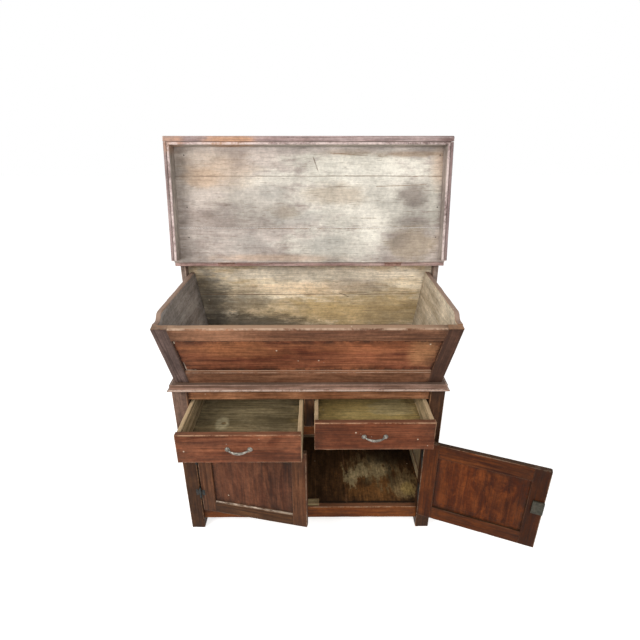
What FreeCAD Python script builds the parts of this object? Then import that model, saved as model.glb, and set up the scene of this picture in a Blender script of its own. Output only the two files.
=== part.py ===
import FreeCAD, Part
import math
import os
import Sketcher

# Bread cupboard: a post-and-rail base with two drawers and two doors, a flared dough trough
# on its moulded top, and a tray-shaped lid hinged to a fixed strip at the back.
# Frame: X to the right, Y from front to back, Z up, origin on the floor in the middle of the base.

DRIVING_SIZES = {
    # base frame
    "base_width": 1000.0,
    "base_depth": 510.0,
    "post_width": 55.0,
    "post_depth": 50.0,
    "foot_height": 42.0,
    "foot_chamfer": 4.0,
    "rail_setback": 14.0,
    "rail_thick": 24.0,
    "bottom_rail_height": 58.5,
    "mid_rail_height": 43.0,
    "top_rail_height": 47.5,
    "divider_width": 35.0,
    "side_rail_thick": 16.0,
    "side_bottom_rail_height": 94.0,
    "side_top_rail_height": 80.0,
    "side_panel_thick": 8.0,
    "side_panel_groove": 8.0,
    "rear_rail_thick": 20.0,
    "rear_rail_height": 60.0,
    "back_board_thick": 12.0,
    "back_board_seam": 0.6,
    # cupboard floor
    "floor_thick": 18.0,
    "floor_middle_board": 308.0,
    "floor_step": 5.0,
    "cleat_size": 20.0,
    "stop_width": 76.0,
    "stop_depth": 30.0,
    "stop_height": 12.0,
    # drawers
    "drawer_height": 115.0,
    "drawer_rear_gap": 24.0,
    "drawer_gap": 2.5,
    "drawer_side_gap": 3.0,
    "drawer_front_thick": 22.0,
    "drawer_wall": 15.0,
    "drawer_wall_drop": 8.0,
    "drawer_bottom_thick": 8.0,
    "drawer_bottom_lift": 12.0,
    "drawer_bottom_groove": 6.0,
    "runner_thick": 18.0,
    "runner_width": 22.0,
    "runner_gap": 0.3,
    "guide_height": 46.0,
    "guide_thick": 20.0,
    "guide_gap": 1.0,
    # drawer pulls
    "pull_span": 75.0,
    "pull_reach": 20.0,
    "pull_tilt_angle": 8.0,
    "pull_rod_radius": 3.8,
    "pull_grip_radius": 5.8,
    "rosette_radius": 9.0,
    "rosette_thick": 3.5,
    # doors
    "door_height": 366.0,
    "door_gap": 2.0,
    "door_thick": 20.0,
    "door_meeting_gap": 3.0,
    "door_stile_width": 57.0,
    "door_rail_width": 60.0,
    "door_panel_recess": 7.0,
    "door_panel_tongue": 6.0,
    "door_panel_field": 4.0,
    "door_panel_bevel": 28.0,
    "door_groove": 8.0,
    "door_chamfer": 5.0,
    "stop_gap": 0.5,
    # rim lock on the right door
    "lock_width": 40.0,
    "lock_height": 56.0,
    "lock_thick": 8.0,
    "lock_rise": 15.0,
    "bolt_length": 32.0,
    "bolt_height": 18.0,
    "bolt_thick": 4.0,
    "bolt_gap": 0.3,
    "keyhole_radius": 3.5,
    "keyhole_drop": 12.0,
    "keyhole_slot": 3.0,
    "keyhole_inset": 24.0,
    # butt hinges
    "leaf_thick": 1.6,
    "leaf_gap": 0.4,
    "knuckle_radius": 4.0,
    "knuckle_gap": 0.3,
    "pin_radius": 2.0,
    "pin_gap": 0.05,
    "pin_tip": 2.0,
    "door_hinge_height": 50.0,
    "door_leaf_width": 24.0,
    "door_hinge_inset": 97.0,
    "lid_hinge_width": 70.0,
    "lid_leaf_width": 11.0,
    "lid_hinge_spacing": 700.0,
    "hinge_notch_gap": 0.5,
    # moulded top of the base
    "cornice_thick": 26.0,
    "cornice_reach": 12.0,
    "cornice_nose": 9.0,
    "cornice_nose_round": 3.0,
    "cornice_neck": 4.0,
    "cornice_fillet": 5.0,
    # dough trough
    "trough_inset": 15.0,
    "trough_setback": 11.0,
    "trough_flare_angle": 8.0,
    "trough_lean_angle": 14.5,
    "trough_front_height": 244.5,
    "trough_front_thick": 24.0,
    "trough_rim_height": 270.0,
    "trough_wall": 19.0,
    "trough_floor_thick": 18.0,
    "trough_rail_width": 57.0,
    "trough_stile_width": 54.0,
    "trough_panel_recess": 8.0,
    "trough_panel_thick": 9.0,
    "trough_groove": 8.0,
    "trough_chamfer": 5.0,
    "shoulder_back": 46.0,
    "shoulder_length": 50.0,
    "back_spread": 52.0,
    "back_height": 313.5,
    "back_thick": 18.0,
    "back_seam_height": 165.0,
    "batten_width": 22.0,
    "batten_depth": 39.0,
    # hinge strip and lid
    "strip_end": 15.0,
    "strip_thick": 16.0,
    "strip_depth": 83.0,
    "strip_round": 6.0,
    "strip_overhang": 5.0,
    "lid_board_thick": 16.0,
    "lid_overhang": 6.5,
    "lid_rear_board": 143.0,
    "lid_front_board": 148.5,
    "lip_thick": 24.0,
    "front_lip_thick": 33.0,
    "lip_spread": 56.5,
    "lip_reach": 5.6,
    "lid_rest_gap": 0.7,
    "lip_rear_gap": 12.6,
    "lip_round": 8.0,
    "lip_bead": 9.5,
    "lip_quirk": 2.5,
    "lip_quirk_depth": 3.0,
    # poses in which the photographed piece stands
    "lid_open_angle": 100.9,
    "left_drawer_out": 205.0,
    "right_drawer_out": 141.0,
    "left_door_open_angle": 12.0,
    "right_door_open_angle": 158.4,
}

BACK_BOARD_COUNT = 5
PULL_STATIONS = 13
PULL_SIDES = 10
PULL_SWELL_POWER = 3
LEFT = -1
RIGHT = 1
RIGHT_ANGLE = 90


class Size:
    """A length or an angle, with its value and the sheet expression that gives it."""

    def __init__(self, value, text):
        self.value = value
        self.text = text

    def __add__(self, other):
        other = as_size(other)
        return Size(self.value + other.value, f"({self.text} + {other.text})")

    def __radd__(self, other):
        return as_size(other) + self

    def __sub__(self, other):
        other = as_size(other)
        return Size(self.value - other.value, f"({self.text} - {other.text})")

    def __rsub__(self, other):
        return as_size(other) - self

    def __mul__(self, other):
        other = as_size(other)
        return Size(self.value * other.value, f"({self.text} * {other.text})")

    def __rmul__(self, other):
        return as_size(other) * self

    def __truediv__(self, other):
        other = as_size(other)
        return Size(self.value / other.value, f"({self.text} / {other.text})")

    def __neg__(self):
        return as_size(0) - self


def as_size(number):
    if isinstance(number, Size):
        return number
    return Size(float(number), f"{float(number):.6g}")


def sine(angle):
    return Size(math.sin(math.radians(angle.value)), f"sin({angle.text})")


def cosine(angle):
    return Size(math.cos(math.radians(angle.value)), f"cos({angle.text})")


def tangent(angle):
    return Size(math.tan(math.radians(angle.value)), f"tan({angle.text})")


def root(number):
    return Size(math.sqrt(number.value), f"sqrt({number.text})")


def arc_sine(number):
    return Size(math.degrees(math.asin(number.value)), f"(asin({number.text}) / 1 deg)")


doc = FreeCAD.newDocument("bread_cupboard")
sheet = doc.addObject("Spreadsheet::Sheet", "Sizes")
for row, (alias, value) in enumerate(DRIVING_SIZES.items(), start=1):
    sheet.set(f"A{row}", alias)
    sheet.set(f"B{row}", str(value))
    sheet.setAlias(f"B{row}", alias)
doc.recompute()


def size(alias):
    return Size(DRIVING_SIZES[alias], f"Sizes.{alias}")


def bind(thing, prop, value):
    thing.setExpression(prop, as_size(value).text)


def place(thing, x=0, y=0, z=0):
    bind(thing, "Placement.Base.x", x)
    bind(thing, "Placement.Base.y", y)
    bind(thing, "Placement.Base.z", z)


def box(x, y, z):
    """A board between a low and a high bound on each axis."""
    board = doc.addObject("Part::Box", "Board")
    bind(board, "Length", x[1] - x[0])
    bind(board, "Width", y[1] - y[0])
    bind(board, "Height", z[1] - z[0])
    place(board, x[0], y[0], z[0])
    return board


def mirrored(side, low, high):
    """Bounds along X of a piece on the right, or of its mirror image on the left."""
    if side == RIGHT:
        return (low, high)
    return (-high, -low)


def cylinder(radius, length, x, y, z, axis=FreeCAD.Vector(0, 0, 1)):
    rod = doc.addObject("Part::Cylinder", "Rod")
    bind(rod, "Radius", radius)
    bind(rod, "Height", length)
    rod.Placement.Rotation = FreeCAD.Rotation(FreeCAD.Vector(0, 0, 1), axis)
    place(rod, x, y, z)
    return rod


def fuse(*pieces):
    joined = doc.addObject("Part::MultiFuse", "Joined")
    joined.Shapes = list(pieces)
    return joined


def cut(base, *tools):
    worked = doc.addObject("Part::Cut", "Worked")
    worked.Base = base
    worked.Tool = tools[0] if len(tools) == 1 else fuse(*tools)
    return worked


def group(*pieces):
    """Separate solids that are placed as one."""
    grouped = doc.addObject("Part::Compound", "Group")
    grouped.Links = list(pieces)
    return grouped


def common(first, second):
    shared = doc.addObject("Part::Common", "Shared")
    shared.Base = first
    shared.Tool = second
    return shared


def arc_middle(start, end, radius):
    """Middle of the arc from start to end that bulges to the left of its chord, or right if radius < 0."""
    chord = end - start
    across = FreeCAD.Vector(-chord.y, chord.x, 0).normalize()
    sagitta = abs(radius) - math.sqrt(radius * radius - chord.Length ** 2 / 4)
    return (start + end) / 2 + across * math.copysign(sagitta, radius)


FIRST_POINT_INDEX, LAST_POINT_INDEX = 1, 2


def draw(sketch, corners):
    """A closed outline. A corner is (a, b), or (a, b, radius) where an arc leads to the next corner."""
    points = [FreeCAD.Vector(corner[0].value, corner[1].value, 0) for corner in corners]
    count = len(corners)
    ends = []
    for i, corner in enumerate(corners):
        first, last = points[i], points[(i + 1) % count]
        ends.append((FIRST_POINT_INDEX, LAST_POINT_INDEX))
        if len(corner) == 2:
            sketch.addGeometry(Part.LineSegment(first, last), False)
            continue
        middle = arc_middle(first, last, corner[2].value)
        if corner[2].value > 0:
            # A sketch keeps its arcs anticlockwise, so this one is drawn from its far end.
            first, last = last, first
            ends[i] = (LAST_POINT_INDEX, FIRST_POINT_INDEX)
        sketch.addGeometry(Part.Arc(first, middle, last), False)
    for i, corner in enumerate(corners):
        after = (i + 1) % count
        sketch.addConstraint(Sketcher.Constraint("Coincident", i, ends[i][1], after, ends[after][0]))
        for kind, along in (("DistanceX", 0), ("DistanceY", 1)):
            limit = Sketcher.Constraint(kind, -1, 1, i, ends[i][0], points[i][along])
            index = sketch.addConstraint(limit)
            bind(sketch, f"Constraints[{index}]", corner[along])
        if len(corner) == 3:
            radius = corner[2] if corner[2].value > 0 else -corner[2]
            index = sketch.addConstraint(Sketcher.Constraint("Radius", i, radius.value))
            bind(sketch, f"Constraints[{index}]", radius)


def sized(corners):
    return [tuple(as_size(value) for value in corner) for corner in corners]


def prism(plane, corners, low, high):
    """A body padded from an outline on XY, XZ or YZ, between two bounds along that plane's normal."""
    body = doc.addObject("PartDesign::Body", "Body")
    sketch = body.newObject("Sketcher::SketchObject", "Outline")
    face = [f for f in body.Origin.OriginFeatures if f.Role == f"{plane}_Plane"][0]
    sketch.AttachmentSupport = [(face, "")]
    sketch.MapMode = "FlatFace"
    draw(sketch, sized(corners))
    pad = body.newObject("PartDesign::Pad", "Pad")
    pad.Profile = sketch
    bind(pad, "Length", high - low)
    # The normal of the XZ plane points to -Y, so that pad grows from its high bound.
    start = {"XY": (0, 0, low), "XZ": (0, high, 0), "YZ": (low, 0, 0)}[plane]
    place(body, *start)
    return body


nodes = []


def node(label, *pieces, pose=None):
    """A named sub-part: one piece, or a group of separate solids, moved by its body's pose."""
    piece = pieces[0]
    if len(pieces) > 1 or pose:
        piece = group(*pieces)
    if pose:
        pose(piece)
    piece.Label = label
    nodes.append(piece)
    return piece


# Shared planes and heights
half = size("base_width") / 2
front = -size("base_depth") / 2
back = size("base_depth") / 2
opening = half - size("post_width")
post_rear = front + size("post_depth")
rear_post_front = back - size("post_depth")
rail_front = front + size("rail_setback")
rail_back = rail_front + size("rail_thick")
wall = half - size("side_rail_thick")
rear_rail_back = back - size("back_board_thick")
rear_rail_front = rear_rail_back - size("rear_rail_thick")

bottom_rail_top = size("foot_height") + size("bottom_rail_height")
door_low = bottom_rail_top + size("door_gap")
door_high = door_low + size("door_height")
mid_rail_low = door_high + size("door_gap")
mid_rail_top = mid_rail_low + size("mid_rail_height")
drawer_low = mid_rail_top + size("drawer_gap")
drawer_high = drawer_low + size("drawer_height")
top_rail_low = drawer_high + size("drawer_gap")
case_low = top_rail_low + size("top_rail_height")
case_high = case_low + size("cornice_thick")

hinge_gap = 2 * size("leaf_thick") + size("leaf_gap")
strip_low = case_high + size("back_height")
strip_high = strip_low + size("strip_thick")
strip_front = back + size("strip_overhang") - size("strip_depth")
lid_axis_y = strip_front - hinge_gap / 2
lid_axis_z = strip_high
door_axis_y = front - size("knuckle_radius") - size("knuckle_gap")


def turned_about_x(piece):
    """Swings a piece of the lid open about the lid's hinge axis."""
    angle = -size("lid_open_angle")
    piece.Placement.Rotation = FreeCAD.Rotation(FreeCAD.Vector(1, 0, 0), -1)
    bind(piece, "Placement.Rotation.Angle", angle)
    y = lid_axis_y - lid_axis_y * cosine(angle) + lid_axis_z * sine(angle)
    z = lid_axis_z - lid_axis_y * sine(angle) - lid_axis_z * cosine(angle)
    place(piece, 0, y, z)


def swung_door(side):
    """The pose of a door, turned about its hinge axis from closed to where it stands."""
    angle = size("right_door_open_angle") if side == RIGHT else -size("left_door_open_angle")
    axis_x = side * (opening - hinge_gap / 2)

    def pose(piece):
        piece.Placement.Rotation = FreeCAD.Rotation(FreeCAD.Vector(0, 0, 1), 1)
        bind(piece, "Placement.Rotation.Angle", angle)
        x = axis_x - axis_x * cosine(angle) + door_axis_y * sine(angle)
        y = door_axis_y - axis_x * sine(angle) - door_axis_y * cosine(angle)
        place(piece, x, y, 0)

    return pose


def pulled_drawer(side):
    """The pose of a drawer, pulled towards the front."""
    out = size("right_drawer_out") if side == RIGHT else size("left_drawer_out")

    def pose(piece):
        place(piece, 0, -out, 0)

    return pose


# Base frame

def post(side, y_low):
    """A corner post whose foot has its lower edges eased."""
    outer = side * half
    inner = side * opening
    ease = size("foot_chamfer")
    corners = [
        (outer - side * ease, 0),
        (inner + side * ease, 0),
        (inner, ease),
        (inner, case_low),
        (outer, case_low),
        (outer, ease),
    ]
    return prism("XZ", corners, y_low, y_low + size("post_depth"))


node("post_front_left", post(LEFT, front))
node("post_front_right", post(RIGHT, front))
node("rear_posts", post(LEFT, rear_post_front), post(RIGHT, rear_post_front))


def front_rail(low, high):
    return box((-opening, opening), (rail_front, rail_back), (low, high))


node("front_bottom_rail", front_rail(size("foot_height"), bottom_rail_top))
node("front_mid_rail", front_rail(mid_rail_low, mid_rail_top))
node("front_top_rail", front_rail(top_rail_low, case_low))

half_divider = size("divider_width") / 2
divider_z = (mid_rail_top, top_rail_low)
node("drawer_divider", box((-half_divider, half_divider), (rail_front, rail_back), divider_z))

side_rail_high = size("foot_height") + size("side_bottom_rail_height")
side_rail_low = case_low - size("side_top_rail_height")
panel_middle = half - size("side_rail_thick") / 2
panel_half = size("side_panel_thick") / 2


def side_panel(side):
    x = mirrored(side, panel_middle - panel_half, panel_middle + panel_half)
    z = (side_rail_high - size("side_panel_groove"), side_rail_low + size("side_panel_groove"))
    return box(x, (post_rear, rear_post_front), z)


def side_rail(side, low, high, panel):
    rail = box(mirrored(side, wall, half), (post_rear, rear_post_front), (low, high))
    return cut(rail, panel)


side_panels = {side: side_panel(side) for side in (LEFT, RIGHT)}
side_rails = []
for side, panel in side_panels.items():
    side_rails.append(side_rail(side, size("foot_height"), side_rail_high, panel))
    side_rails.append(side_rail(side, side_rail_low, case_low, panel))
node("side_rails", *side_rails)
node("side_panels", *side_panels.values())


def rear_rail(low, high):
    return box((-opening, opening), (rear_rail_front, rear_rail_back), (low, high))


node(
    "rear_rails",
    rear_rail(size("foot_height"), size("foot_height") + size("rear_rail_height")),
    rear_rail(mid_rail_top - size("rear_rail_height"), mid_rail_top),
    rear_rail(case_low - size("rear_rail_height"), case_low),
)

back_pitch = 2 * opening / BACK_BOARD_COUNT
back_boards = []
for i in range(BACK_BOARD_COUNT):
    left_edge = -opening + i * back_pitch
    right_edge = left_edge + back_pitch
    if i < BACK_BOARD_COUNT - 1:
        right_edge = right_edge - size("back_board_seam")
    back_boards.append(box((left_edge, right_edge), (rear_rail_back, back), (size("foot_height"), case_low)))
node("back_boards", *back_boards)

# Cupboard floor, its cleats and the stop that the doors close against

floor_high = bottom_rail_top - size("floor_step")
floor_low = floor_high - size("floor_thick")
floor_seam = size("floor_middle_board") / 2


def notched_floor_board(side):
    """An outer floor board, laid front to back and cut back at its two outer corners round the posts."""
    corners = [(side * floor_seam, rail_back), (side * opening, rail_back), (side * opening, post_rear)]
    corners += [(side * wall, post_rear), (side * wall, rear_post_front), (side * opening, rear_post_front)]
    corners += [(side * opening, rear_rail_front), (side * floor_seam, rear_rail_front)]
    return prism("XY", corners, floor_low, floor_high)


node(
    "floor_boards",
    notched_floor_board(LEFT),
    box((-floor_seam, floor_seam), (rail_back, rear_rail_front), (floor_low, floor_high)),
    notched_floor_board(RIGHT),
)


def floor_cleat(side):
    x = mirrored(side, wall - size("cleat_size"), wall)
    return box(x, (post_rear, rear_post_front), (floor_low - size("cleat_size"), floor_low))


node("floor_cleats", floor_cleat(LEFT), floor_cleat(RIGHT))

stop_half = size("stop_width") / 2
stop_front = front + size("door_thick") + size("stop_gap")
node(
    "door_stop",
    box(
        (-stop_half, stop_half),
        (stop_front, stop_front + size("stop_depth")),
        (bottom_rail_top, bottom_rail_top + size("stop_height")),
    ),
)

# Drawer runners and guides

drawer_inner = half_divider + size("drawer_side_gap")
drawer_outer = opening - size("drawer_side_gap")
runner_low = mid_rail_top - size("runner_thick")
guide_face = drawer_outer + size("guide_gap")
guide_high = mid_rail_top + size("guide_height")
centre_guide_half = drawer_inner - size("guide_gap")


def outer_runner(side):
    x = mirrored(side, guide_face - size("runner_width"), guide_face)
    return box(x, (rail_back, rear_rail_front), (runner_low, mid_rail_top))


def outer_guide(side):
    x = mirrored(side, guide_face, guide_face + size("guide_thick"))
    return box(x, (post_rear, rear_post_front), (runner_low, guide_high))


centre_runner_half = drawer_inner + size("runner_width")
centre_runner = box(
    (-centre_runner_half, centre_runner_half), (rail_back, rear_rail_front), (runner_low, mid_rail_top)
)
centre_guide = box(
    (-centre_guide_half, centre_guide_half), (rail_back, rear_rail_front), (mid_rail_top, guide_high)
)
node("drawer_runners", outer_runner(LEFT), centre_runner, outer_runner(RIGHT))
node("drawer_guides", outer_guide(LEFT), centre_guide, outer_guide(RIGHT))

# Moulded top of the base: a flat board with a mitred cove-and-nose moulding on three edges

node("case_top", box((-half, half), (front, back), (case_low, case_high)))

nose_high = case_low + size("cornice_nose")
nose_round = size("cornice_nose_round")
reach = size("cornice_reach")
neck = size("cornice_neck")
cove_high = case_high - size("cornice_fillet")
cove_width = reach - nose_round - neck
cove_height = cove_high - nose_high
cove_radius = (cove_width * cove_width + cove_height * cove_height) / (2 * cove_height)


def moulding_profile(edge, outward):
    """Section of the moulding: rounded nose below, cove above it, and a small fillet at the top."""
    def at(distance):
        return edge + outward * distance

    return [
        (at(0), case_low),
        (at(reach), case_low),
        (at(reach), nose_high - nose_round, -outward * nose_round),
        (at(reach - nose_round), nose_high, outward * cove_radius),
        (at(neck), cove_high),
        (at(neck), case_high),
        (at(0), case_high),
    ]


def mitre(side, corner_x, corner_y):
    """The waste beyond a mitre line that runs outwards from a front corner of the base."""
    spare = 2 * reach
    corners = [(side * half, front), (side * (half + spare), front - spare), (corner_x, corner_y)]
    return prism("XY", corners, case_low, case_high)


cornice_ends = half + reach
front_moulding = prism("YZ", moulding_profile(front, -1), -cornice_ends, cornice_ends)
node(
    "cornice_front",
    cut(
        front_moulding,
        mitre(LEFT, -(half + 2 * reach), front),
        mitre(RIGHT, half + 2 * reach, front),
    ),
)
for side, label in ((LEFT, "cornice_left"), (RIGHT, "cornice_right")):
    moulding = prism("XZ", moulding_profile(side * half, side), front - reach, back)
    node(label, cut(moulding, mitre(side, side * half, front - 2 * reach)))

# Dough trough: sides flare outwards and the front leans forwards, so their joints are compound angles

flare = size("trough_flare_angle")
lean = size("trough_lean_angle")
trough_half = half - size("trough_inset")
flare_slope = tangent(flare)
lean_slope = tangent(lean)
front_foot = front + size("trough_setback")
inside_foot = front_foot + size("trough_front_thick") / cosine(lean)
back_face = back - size("back_thick")
wall_across = size("trough_wall") / cosine(flare)
rim_height = size("trough_rim_height")
low_height = size("trough_front_height") + size("trough_front_thick") * sine(lean)
front_top_outer = front_foot - size("trough_front_height") * lean_slope


def trough_side(side):
    """A flared side: its section runs front to back, and its outline is cut through from the side."""
    rim = case_high + rim_height
    low = case_high + low_height
    drop = rim_height - low_height
    run = size("shoulder_length")
    shoulder_radius = (run * run + drop * drop) / (4 * drop)
    shoulder_rear = front + size("shoulder_back")
    outline = [
        (back_face, case_high),
        (back_face, rim),
        (shoulder_rear, rim, shoulder_radius * -1),
        (shoulder_rear - run / 2, rim - drop / 2, shoulder_radius),
        (shoulder_rear - run, low),
        (inside_foot - low_height * lean_slope, low),
        (inside_foot, case_high),
    ]
    spread = flare_slope * rim_height
    section = [
        (side * (trough_half - wall_across), case_high),
        (side * trough_half, case_high),
        (side * (trough_half + spread), rim),
        (side * (trough_half - wall_across + spread), rim),
    ]
    blank = prism("YZ", outline, *mirrored(side, trough_half - wall_across, trough_half + spread))
    plank = prism("XZ", section, inside_foot - low_height * lean_slope, back_face)
    return common(blank, plank)


node("trough_side_left", trough_side(LEFT))
node("trough_side_right", trough_side(RIGHT))

floor_rise = size("trough_floor_thick")
floor_half = trough_half - wall_across
floor_spread = flare_slope * floor_rise
floor_section = [
    (-floor_half, case_high),
    (floor_half, case_high),
    (floor_half + floor_spread, case_high + floor_rise),
    (-floor_half - floor_spread, case_high + floor_rise),
]
floor_outline = [
    (inside_foot, case_high),
    (back_face, case_high),
    (back_face, case_high + floor_rise),
    (inside_foot - lean_slope * floor_rise, case_high + floor_rise),
]
node(
    "trough_floor",
    common(
        prism("XZ", floor_section, inside_foot - lean_slope * floor_rise, back_face),
        prism("YZ", floor_outline, -floor_half - floor_spread, floor_half + floor_spread),
    ),
)

# Framed front of the trough, drawn flat in its own leaning plane

slope_length = size("trough_front_height") / cosine(lean)
edge_slope = flare_slope * cosine(lean)
rail_width = size("trough_rail_width")
groove = size("trough_groove")
panel_edge = trough_half - size("trough_stile_width")
panel_face = -size("trough_panel_recess")


def leaning(piece):
    piece.Placement.Rotation = FreeCAD.Rotation(FreeCAD.Vector(1, 0, 0), RIGHT_ANGLE)
    bind(piece, "Placement.Rotation.Angle", RIGHT_ANGLE + lean)
    place(piece, 0, front_foot, case_high)


def flared_piece(low, high, low_half, high_half, face, thick):
    """A piece between two heights in the front's plane, with both ends cut to the flare."""
    corners = [(-low_half, low), (low_half, low), (high_half, high), (-high_half, high)]
    return prism("XY", corners, face - thick, face)


def panel_half_at(height):
    return panel_edge + edge_slope * height


panel_low = rail_width - groove
panel_high = slope_length - rail_width + groove
trough_panel = flared_piece(
    panel_low,
    panel_high,
    panel_half_at(panel_low) + groove,
    panel_half_at(panel_high) + groove,
    panel_face,
    size("trough_panel_thick"),
)
front_thick = size("trough_front_thick")


def trough_rail(low, high):
    return flared_piece(low, high, panel_half_at(low), panel_half_at(high), as_size(0), front_thick)


def trough_stile(side):
    corners = [
        (side * panel_edge, 0),
        (side * trough_half, 0),
        (side * (trough_half + edge_slope * slope_length), slope_length),
        (side * panel_half_at(slope_length), slope_length),
    ]
    return prism("XY", corners, -front_thick, as_size(0))


def rail_chamfer(edge, into_rail):
    """The waste off a rail's outer arris beside the panel, over the whole length of the rail."""
    chamfer = size("trough_chamfer")
    corners = [(edge, 0), (edge + into_rail * chamfer, 0), (edge, -chamfer)]
    return prism("YZ", corners, -panel_half_at(slope_length), panel_half_at(slope_length))


panel_foot = rail_width
panel_head = slope_length - rail_width
bottom_rail = trough_rail(as_size(0), panel_foot)
top_rail = trough_rail(panel_head, slope_length)
node("trough_front_bottom_rail", cut(bottom_rail, trough_panel, rail_chamfer(panel_foot, -1)), pose=leaning)
node("trough_front_top_rail", cut(top_rail, trough_panel, rail_chamfer(panel_head, 1)), pose=leaning)
node(
    "trough_front_stiles",
    cut(trough_stile(LEFT), trough_panel),
    cut(trough_stile(RIGHT), trough_panel),
    pose=leaning,
)
node("trough_front_panel", trough_panel, pose=leaning)

# Upright back of the trough, with end battens, and the strip that carries the lid

back_half = half + size("back_spread")
seam = case_high + size("back_seam_height")
node(
    "trough_back",
    box((-back_half, back_half), (back_face, back), (case_high, seam)),
    box((-back_half, back_half), (back_face, back), (seam, strip_low)),
)


def back_batten(side):
    x = mirrored(side, back_half - size("batten_width"), back_half)
    return box(x, (back_face - size("batten_depth"), back_face), (case_high, strip_low))


node("back_battens", back_batten(LEFT), back_batten(RIGHT))

strip_half = back_half + size("strip_end")
strip_round = size("strip_round")
strip_rear = back + size("strip_overhang")
strip_profile = [
    (strip_front, strip_low),
    (strip_rear, strip_low),
    (strip_rear, strip_high),
    (strip_front + strip_round, strip_high, -strip_round),
    (strip_front, strip_high - strip_round),
]
lid_hinge_x = size("lid_hinge_spacing") / 2
knuckle_room = size("knuckle_radius") + size("hinge_notch_gap")


def lid_hinge_notch(side):
    """Room for the knuckles in the top edges of the strip and of the rear lid board."""
    notch_half = size("lid_hinge_width") / 2 + size("pin_tip") + size("hinge_notch_gap")
    x = (side * lid_hinge_x - notch_half, side * lid_hinge_x + notch_half)
    y = (lid_axis_y - knuckle_room, lid_axis_y + knuckle_room)
    return box(x, y, (lid_axis_z - knuckle_room, lid_axis_z + knuckle_room))


strip_blank = prism("YZ", strip_profile, -strip_half, strip_half)
node("hinge_strip", cut(strip_blank, lid_hinge_notch(LEFT), lid_hinge_notch(RIGHT)))

# Lid, drawn closed: three boards on a frame of deep lips at the front and both ends

lid_low = lid_axis_z - size("lid_board_thick")
lip_front = front_top_outer - size("lip_reach")
lid_front = lip_front - size("lid_overhang")
lid_rear = lid_axis_y - hinge_gap / 2
first_seam = lid_axis_y - size("lid_rear_board")
second_seam = lid_front + size("lid_front_board")
lip_half = half + size("lip_spread")
lid_half = lip_half + size("lid_overhang")


def lid_board(y_low, y_high):
    return box((-lid_half, lid_half), (y_low, y_high), (lid_low, lid_axis_z))


rear_board = cut(lid_board(first_seam, lid_rear), lid_hinge_notch(LEFT), lid_hinge_notch(RIGHT))
node(
    "lid_boards",
    rear_board,
    lid_board(second_seam, first_seam),
    lid_board(lid_front, second_seam),
    pose=turned_about_x,
)

lip_thick = size("lip_thick")
front_lip_thick = size("front_lip_thick")
# The closed lid's front lip rests just over the sloping top edge of the trough's front.
lip_low = case_high + size("trough_front_height") + (front_lip_thick - size("lip_reach")) * lean_slope
lip_low = lip_low + size("lid_rest_gap")
lip_round = size("lip_round")


def lip_profile(edge, inward, thick):
    """Section of a lip: its lower edge is rounded outside, then has a narrow groove and a flat bead."""
    groove_high = lip_low + size("lip_quirk_depth")
    bead = thick - size("lip_bead")
    quirk = bead - size("lip_quirk")
    return [
        (edge, lid_low),
        (edge, lip_low + lip_round, inward * lip_round),
        (edge + inward * lip_round, lip_low),
        (edge + inward * quirk, lip_low),
        (edge + inward * quirk, groove_high),
        (edge + inward * bead, groove_high),
        (edge + inward * bead, lip_low),
        (edge + inward * thick, lip_low),
        (edge + inward * thick, lid_low),
    ]


lip_rear = lid_axis_y - size("lip_rear_gap")
# The moulded edge of the lips, which is the bead with its groove, is mitred at both front corners.
moulded_edge = size("lip_bead") + size("lip_quirk")
mitre_outer = lip_half - lip_thick + moulded_edge
mitre_front = lip_front + front_lip_thick - moulded_edge
past_mitre = moulded_edge + size("lip_quirk")


def lip_waste(corners):
    return prism("XY", corners, lip_low - lip_round, lid_axis_z)


def front_lip_waste(side):
    """The corner that the moulded edge of a side lip takes from the front lip."""
    return lip_waste([
        (side * mitre_outer, mitre_front),
        (side * (mitre_outer - past_mitre), mitre_front + past_mitre),
        (side * (lip_half + past_mitre), mitre_front + past_mitre),
        (side * (lip_half + past_mitre), mitre_front),
    ])


def side_lip_waste(side):
    """The corner that the moulded edge of the front lip takes from a side lip."""
    return lip_waste([
        (side * (mitre_outer + past_mitre), mitre_front - past_mitre),
        (side * (mitre_outer - past_mitre), mitre_front - past_mitre),
        (side * (mitre_outer - past_mitre), mitre_front + past_mitre),
    ])


front_lip = prism("YZ", lip_profile(lip_front, 1, front_lip_thick), -lip_half, lip_half)
front_lip = cut(front_lip, front_lip_waste(LEFT), front_lip_waste(RIGHT))
node("lid_front_lip", front_lip, pose=turned_about_x)
for side, label in ((LEFT, "lid_left_lip"), (RIGHT, "lid_right_lip")):
    side_lip = prism("XZ", lip_profile(side * lip_half, -side, lip_thick), mitre_front, lip_rear)
    node(label, cut(side_lip, side_lip_waste(side)), pose=turned_about_x)

# Butt hinges: two leaves, three knuckles and a pin, drawn with the pin along Z and leaves along +Y

HINGE_KNUCKLES = 3
AS_DRAWN = FreeCAD.Rotation()
TURNED_OVER = FreeCAD.Rotation(FreeCAD.Vector(0, 1, 0), 180)
PIN_ALONG_X = FreeCAD.Rotation(
    FreeCAD.Vector(0, 1, 0), FreeCAD.Vector(0, 0, -1), FreeCAD.Vector(-1, 0, 0), "XYZ"
)


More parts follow.
